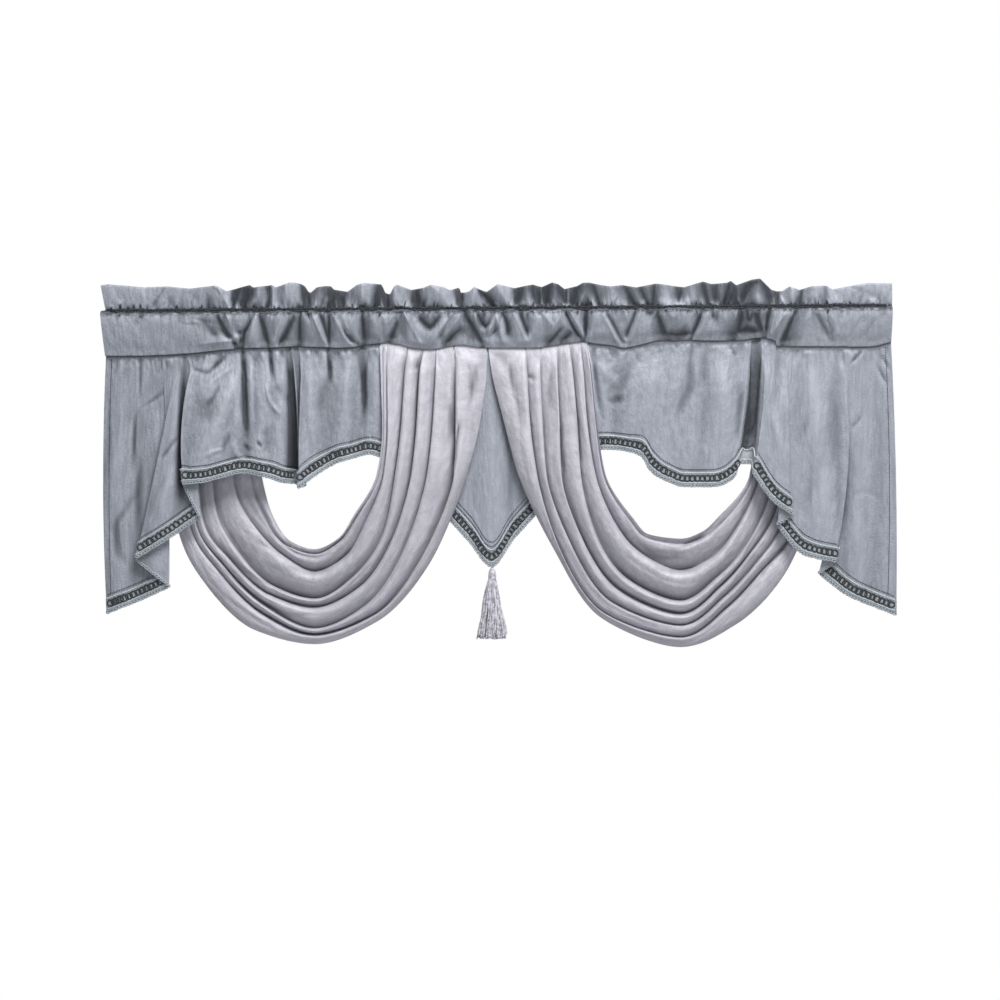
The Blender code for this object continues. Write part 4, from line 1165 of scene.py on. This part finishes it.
def braid_material(name):
    """The woven strip: ribs across it, pale at the sides, plain down the middle and shaded at its edges."""
    material, tree, shader = principled(name, 0.55, 0.05, 0.3, 0.4)
    place = node(tree, "ShaderNodeUVMap", uv_map="weave").outputs["UV"]
    down = node(tree, "ShaderNodeSeparateXYZ", {0: place}).outputs["Y"]
    ribs = bands(tree, place, "X", 262.0, 0.6)
    fleck = noise(tree, place, 900.0, 3.0)
    from_middle = math_node(tree, "ABSOLUTE", math_node(tree, "SUBTRACT", down, 0.0076))
    middle = ramp(tree, from_middle, 0.0052, 0.0044)
    edge = ramp(tree, from_middle, 0.0068, 0.0076)
    pale = mixed(tree, ramp(tree, ribs, 0.2, 0.9), BRAID_SHADE, BRAID_PALE)
    tinted = mixed(tree, middle, mixed(tree, edge, pale, BRAID_SHADE), BRAID_MIDDLE)
    colour = mixed(tree, ramp(tree, fleck, 0.4, 0.9), tinted, BRAID_SHADE)
    dress(tree, shader, colour, math_node(tree, "ADD", ribs, fleck), 0.6, 0.0004)
    return material


# Geometry trees for what repeats along a path.

def new_growth(name, sizes, counts=()):
    """A geometry tree that takes a path, with a named input for each size and count."""
    tree = bpy.data.node_groups.new(name, "GeometryNodeTree")
    tree.interface.new_socket("Geometry", in_out="INPUT", socket_type="NodeSocketGeometry")
    for label in sizes:
        tree.interface.new_socket(label, in_out="INPUT", socket_type="NodeSocketFloat")
    for label in counts:
        tree.interface.new_socket(label, in_out="INPUT", socket_type="NodeSocketInt")
    tree.interface.new_socket("Material", in_out="INPUT", socket_type="NodeSocketMaterial")
    tree.interface.new_socket("Geometry", in_out="OUTPUT", socket_type="NodeSocketGeometry")
    given = tree.nodes.new("NodeGroupInput").outputs
    path = node(tree, "GeometryNodeMeshToCurve", {0: given["Geometry"]}).outputs[0]
    return tree, given, path


def finish_growth(tree, given, shape):
    """Ends a tree: real geometry in the material it was given."""
    whole = node(tree, "GeometryNodeRealizeInstances", {0: shape}).outputs[0]
    painted = node(tree, "GeometryNodeSetMaterial", {"Geometry": whole, "Material": given["Material"]})
    node(tree, "NodeGroupOutput", {0: painted.outputs[0]})
    return tree


def ring_of(tree, radius, points):
    inputs = {"Radius": radius, "Resolution": points}
    return node(tree, "GeometryNodeCurvePrimitiveCircle", inputs).outputs[0]


def tube(tree, path, thickness, sides, capped):
    """A round cord along a path."""
    ring = ring_of(tree, math_node(tree, "MULTIPLY", thickness, 0.5), sides)
    inputs = {"Curve": path, "Profile Curve": ring, "Fill Caps": capped}
    return node(tree, "GeometryNodeCurveToMesh", inputs).outputs[0]


def random_between(tree, low, high, seed=0):
    inputs = {2: low, 3: high, "Seed": seed}
    return node(tree, "FunctionNodeRandomValue", inputs, data_type="FLOAT").outputs[1]


def sized(tree, x, y, z):
    return node(tree, "ShaderNodeCombineXYZ", {0: x, 1: y, 2: z}).outputs[0]


def turned_along(tree, angles):
    """A rotation that lays X along the path and Z out of the cloth, then turned by some angles."""
    along = node(tree, "GeometryNodeInputTangent").outputs[0]
    outward = node(tree, "GeometryNodeInputNamedAttribute", {"Name": "outward"}, data_type="FLOAT_VECTOR")
    laid = node(tree, "FunctionNodeAlignRotationToVector", {"Vector": along}, axis="X").outputs[0]
    faced = node(tree, "FunctionNodeAlignRotationToVector",
                 {"Rotation": laid, "Vector": outward.outputs["Attribute"]}, axis="Z", pivot_axis="X")
    tilt = node(tree, "FunctionNodeEulerToRotation", {0: angles}).outputs[0]
    return node(tree, "FunctionNodeRotateRotation", {0: faced.outputs[0], 1: tilt},
                rotation_space="LOCAL").outputs[0]


def repeated(tree, given, path, shape, angles, scale):
    """Copies of a shape at an even pitch along a path."""
    spaced = node(tree, "GeometryNodeResampleCurve", {"Curve": path, "Length": given["Pitch"]}, mode="LENGTH")
    return node(tree, "GeometryNodeInstanceOnPoints", {
        "Points": spaced.outputs[0], "Instance": shape,
        "Rotation": turned_along(tree, angles), "Scale": scale,
    }).outputs[0]


def yarn_growth():
    """A round yarn that follows each path."""
    tree, given, path = new_growth("yarn", ("Thickness",), ("Sides",))
    return finish_growth(tree, given, tube(tree, path, given["Thickness"], given["Sides"], True))


def stitch_growth():
    """Stitches laid end to end along each path, each a little different."""
    tree, given, path = new_growth("stitches", ("Pitch", "Length", "Thickness", "Slant"), ("Seed",))
    back = math_node(tree, "MULTIPLY", given["Slant"], -1.0)
    slant = random_between(tree, back, given["Slant"], given["Seed"])
    length = math_node(tree, "MULTIPLY", random_between(tree, 0.8, 1.15, given["Seed"]), given["Length"])
    bead = node(tree, "GeometryNodeMeshUVSphere", {"Segments": 6, "Rings": 4, "Radius": 0.5}).outputs[0]
    size = sized(tree, length, given["Thickness"], given["Thickness"])
    laid = repeated(tree, given, path, bead, sized(tree, 0.0, 0.0, slant), size)
    return finish_growth(tree, given, laid)


def link_growth():
    """Oval loops of cord at an even pitch, for the braid's chain and its looped edges."""
    tree, given, path = new_growth("chain_links", ("Pitch", "Length", "Width", "Thickness"))
    oval = node(tree, "GeometryNodeTransform", {
        "Geometry": ring_of(tree, 0.5, 12), "Scale": sized(tree, given["Length"], given["Width"], 1.0),
    }).outputs[0]
    sway = node(tree, "FunctionNodeRandomValue", {0: (-0.1, -0.1, -0.3), 1: (0.1, 0.1, 0.3)},
                data_type="FLOAT_VECTOR").outputs[0]
    loop = tube(tree, oval, given["Thickness"], 4, False)
    laid = repeated(tree, given, path, loop, sway, random_between(tree, 0.86, 1.1))
    return finish_growth(tree, given, laid)


def grown(name, tree, paths, material, **sizes):
    """A piece grown along paths. Each path is a row of points and the way out of the cloth at each."""
    verts = []
    edges = []
    outward = []
    for points, out in paths:
        start = len(verts)
        verts.extend((np.asarray(points) * MM).tolist())
        outward.append(np.broadcast_to(out, np.asarray(points).shape))
        edges.extend((start + i, start + i + 1) for i in range(len(points) - 1))
    mesh = bpy.data.meshes.new(name)
    mesh.from_pydata(verts, edges, [])
    facing = mesh.attributes.new("outward", "FLOAT_VECTOR", "POINT")
    facing.data.foreach_set("vector", np.concatenate(outward).astype(np.float32).ravel())
    seedling = link_object(name, mesh)
    growth = seedling.modifiers.new("growth", "NODES")
    growth.node_group = tree
    values = dict(sizes, material=material)
    for socket in tree.interface.items_tree:
        key = socket.name.lower()
        if socket.in_out == "INPUT" and key in values:
            growth[socket.identifier] = values[key]
    bpy.context.view_layer.update()
    graph = bpy.context.evaluated_depsgraph_get()
    full = bpy.data.meshes.new_from_object(seedling.evaluated_get(graph))
    bpy.data.objects.remove(seedling)
    full.name = name
    full.materials.clear()
    full.materials.append(material)
    full.shade_smooth()
    return link_object(name, full)


# The cloth.
WEAVE = weave_group()
slate = satin("slate_satin_cloth", SLATE_PAINTED_SHADE, SLATE, SLATE_PALE, 0.54)
silver = satin("silver_satin_cloth", SILVER_PAINTED_SHADE, SILVER, SILVER_PALE, 0.56)
braid_cloth = braid_material("braid_weave")
braid_cord = thread_material("braid_cord", *CORD_COLOURS, 0.5, 0.05, 1500.0)
chain_cord = thread_material("chain_cord", *CHAIN_COLOURS, 0.5, 0.05, 1500.0)
dark_thread = thread_material("dark_sewing_thread", *STITCH_COLOURS, 0.75, 0.0, 700.0, 0.0)
tassel_silk = thread_material("tassel_silk_thread", *TASSEL_COLOURS, 0.5, 0.05, 230.0)

heading_points, heading_tones = heading_sheet()
heading = sheet_piece("heading_cloth", heading_points, slate, heading_tones)
left_points, left_tones = hanging_sheet(LEFT_FOLDS, FRONT_LAYER, 130, LEFT_CREASES, 21, 0.1)
right_points, right_tones = hanging_sheet(RIGHT_FOLDS, FRONT_LAYER, 130, RIGHT_CREASES, 22)
pennant_points, pennant_tones = hanging_sheet(PENNANT_FOLDS, BACK_LAYER, 90, PENNANT_CREASES, 23, -0.08)
skirt_left = sheet_piece("skirt_left_cloth", left_points, slate, left_tones)
skirt_right = sheet_piece("skirt_right_cloth", right_points, slate, right_tones)
pennant = sheet_piece("pennant_cloth", pennant_points, slate, pennant_tones)
points, tones = swag_sheet(LEFT_STATIONS, LEFT_SWAG_FOLDS, LEFT_SWAG_CREASES, 31)
swag_left = sheet_piece("swag_left_cloth", points, silver, tones)
points, tones = swag_sheet(RIGHT_STATIONS, RIGHT_SWAG_FOLDS, RIGHT_SWAG_CREASES, 32)
swag_right = sheet_piece("swag_right_cloth", points, silver, tones)

# The trim: a woven strip with a chain, edge cords, small loops and its stitches.
yarn = yarn_growth()
stitches = stitch_growth()
links = link_growth()

braids = []
chains = []
cords = []
seams = []
for side, points in (("left", left_points), ("centre", pennant_points), ("right", right_points)):
    lines = trim_frame(points)
    strip = np.array([trim_line(lines, share, rise) for share, rise in BRAID_PROFILE])
    braids.append(sheet_piece("braid_" + side + "_strip", strip, braid_cloth))
    chains.append(grown("braid_" + side + "_links", links, seen_lines(lines, (0.43,), 1.4, 4.8), chain_cord,
                        pitch=0.0062, length=0.0090, width=0.0076, thickness=0.0020))
    edges = [trim_path(lines, share, 1.0) for share in (0.05, 0.78)]
    cords.append(grown("braid_" + side + "_edge_cords", yarn, edges, braid_cord, thickness=0.0019, sides=6))
    loops = seen_lines(lines, (0.08, 0.80, 0.96), 0.9, 1.5)
    loops.append(trim_path(lines, 0.99, -CLOTH / 2 - GAP))
    cords.append(grown("braid_" + side + "_picots", links, loops, braid_cord,
                       pitch=0.0041, length=0.0046, width=0.0030, thickness=0.0011))
    rows = seen_lines(lines, TRIM_STITCHES[side], -0.9, 1.6)
    if side != "centre":
        rows.append(side_seam(points, SIDE_SEAM_IN if side == "left" else -SIDE_SEAM_IN))
    seams.append(grown("trim_" + side + "_stitches", stitches, rows, dark_thread,
                       pitch=0.0030, length=0.0030, thickness=0.0009, slant=0.15, seed=7))

# Two crossed rows of coarse stitches pinch the pocket from the ruffle; they are made thick and near black so
# that they also stand in for the shade of the gathers along the stitching.
stitched_row = heading_points[len(eased(POCKET_PROFILE, POCKET_STEPS)) - 1][7:-7]
pinched = [(stitched_row + (0.0, 0.0, 0.9) + FORWARD * 1.6, FORWARD),
           (stitched_row - (0.0, 1.8, 2.0) + FORWARD * 1.2, FORWARD)]
heading_stitches = grown("heading_stitches", stitches, pinched, dark_thread,
                         pitch=0.0031, length=0.0074, thickness=0.0036, slant=0.8, seed=4)


# The tassel.

def tassel_point(radius, angle, z):
    return TASSEL_X + radius * math.sin(angle), TASSEL_Y - radius * math.cos(angle), z


def tassel_strands():
    """Threads that hang from the head and spread to the foot, each with its own sway."""
    pick = np.random.default_rng(12)
    paths = []
    for k in range(260):
        angle = pick.uniform(0, 2 * math.pi)
        ring = math.sqrt(pick.uniform(0.02, 1.0))
        root = 4.6 * ring
        foot = 18.6 * ring * pick.uniform(0.86, 1.05)
        length = TASSEL_TOP - TASSEL_FOOT - 18 + pick.uniform(-4, 2.5)
        sway = pick.uniform(-1.6, 1.6, 2)
        path = []
        for t in np.linspace(0, 1, 9):
            x, y, z = tassel_point(root + (foot - root) * t, angle, TASSEL_TOP - 17 - length * t)
            bend = math.sin(1.7 * math.pi * t)
            path.append((x + sway[0] * bend, y + sway[1] * bend, z))
        paths.append((path, FORWARD))
    return paths


def tassel_head():
    """Threads over the head, down to its binding."""
    angles = [2 * math.pi * k / 44 for k in range(44)]
    return [([tassel_point(radius, angle, TASSEL_TOP + z) for z, radius in HEAD_PROFILE], FORWARD)
            for angle in angles]


def tassel_binding():
    """Six turns of thread round the tassel's neck."""
    turns = [k / 20 for k in range(6 * 20 + 1)]
    return [([tassel_point(4.6, 2 * math.pi * t, TASSEL_TOP - 14.2 - 0.62 * t) for t in turns], FORWARD)]


threads = grown("tassel_threads", yarn, tassel_strands(), tassel_silk, thickness=0.0020, sides=4)
head = grown("tassel_head_threads", yarn, tassel_head(), tassel_silk, thickness=0.0009, sides=4)
binding = grown("tassel_binding", yarn, tassel_binding(), tassel_silk, thickness=0.0009, sides=5)

# Each piece takes the place of its solid.
for piece, solid, finish in (
    (heading, "heading", "slate_satin"),
    (skirt_left, "skirt_left", "slate_satin"),
    (skirt_right, "skirt_right", "slate_satin"),
    (pennant, "pennant", "slate_satin"),
    (swag_left, "swag_left", "silver_satin"),
    (swag_right, "swag_right", "silver_satin"),
    (braids[0], "braid_left", "woven_trim"),
    (braids[1], "braid_centre", "woven_trim"),
    (braids[2], "braid_right", "woven_trim"),
    (threads, "tassel", "tassel_silk"),
):
    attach(piece, "root")
    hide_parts(solid)
for pieces, finish in (
    (chains + cords, "woven_trim"),
    (seams, "slate_satin"),
    ([head, binding], "tassel_silk"),
    ([heading_stitches], "slate_satin"),
):
    for piece in pieces:
        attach(piece, "root")


# Floor, light and camera.

def plain_floor():
    corners = [(-6, -6, -2.2), (6, -6, -2.2), (6, 6, -2.2), (-6, 6, -2.2)]
    mesh = bpy.data.meshes.new("floor")
    mesh.from_pydata(corners, [], [(0, 1, 2, 3)])
    floor = link_object("floor", mesh)
    material, tree, shader = principled("floor_paint", 0.8, 0.0, 0.0, 0.5)
    cloud = noise(tree, node(tree, "ShaderNodeTexCoord").outputs["Object"], 3.0, 2.0)
    tint = mixed(tree, cloud, (0.80, 0.80, 0.80), (0.84, 0.84, 0.84))
    tree.links.new(tint, shader.inputs["Base Color"])
    mesh.materials.append(material)


def area_light(name, place, target, size, watts, colour):
    data = bpy.data.lights.new(name, "AREA")
    data.shape = "DISK"
    data.size = size
    data.energy = watts
    data.color = colour
    light = link_object(name, data)
    light.location = place
    light.rotation_euler = (Vector(target) - Vector(place)).to_track_quat("-Z", "Y").to_euler()


def soft_world():
    """White behind the valance and softer grey in front of it."""
    world = bpy.data.worlds.new("studio")
    bpy.context.scene.world = world
    world.use_nodes = True
    tree = world.node_tree
    place = node(tree, "ShaderNodeTexCoord").outputs["Generated"]
    depth = node(tree, "ShaderNodeSeparateXYZ", {0: place}).outputs["Y"]
    tint = mixed(tree, ramp(tree, depth, -0.1, 0.6), (0.13, 0.135, 0.145), (1.0, 1.0, 1.0))
    tree.links.new(tint, tree.nodes["Background"].inputs["Color"])


plain_floor()
soft_world()
area_light("key", (0.6, -1.7, 2.35), (0.0, 0.0, -0.25), 1.5, 120.0, (1.0, 0.99, 0.98))
area_light("fill", (0.9, -3.6, 0.2), (0.0, 0.0, -0.3), 1.6, 14.0, (0.97, 0.98, 1.0))
bpy.context.scene.view_settings.view_transform = "Standard"

camera_data = bpy.data.cameras.new("camera")
camera_data.sensor_width = 36.0
camera_data.lens = 36.0 * CAMERA_AWAY / PICTURE_WIDE
camera = link_object("camera", camera_data)
camera.location = (0.0019, -CAMERA_AWAY, -0.2718)
camera.rotation_euler = (math.pi / 2, 0.0, 0.0)
bpy.context.scene.camera = camera
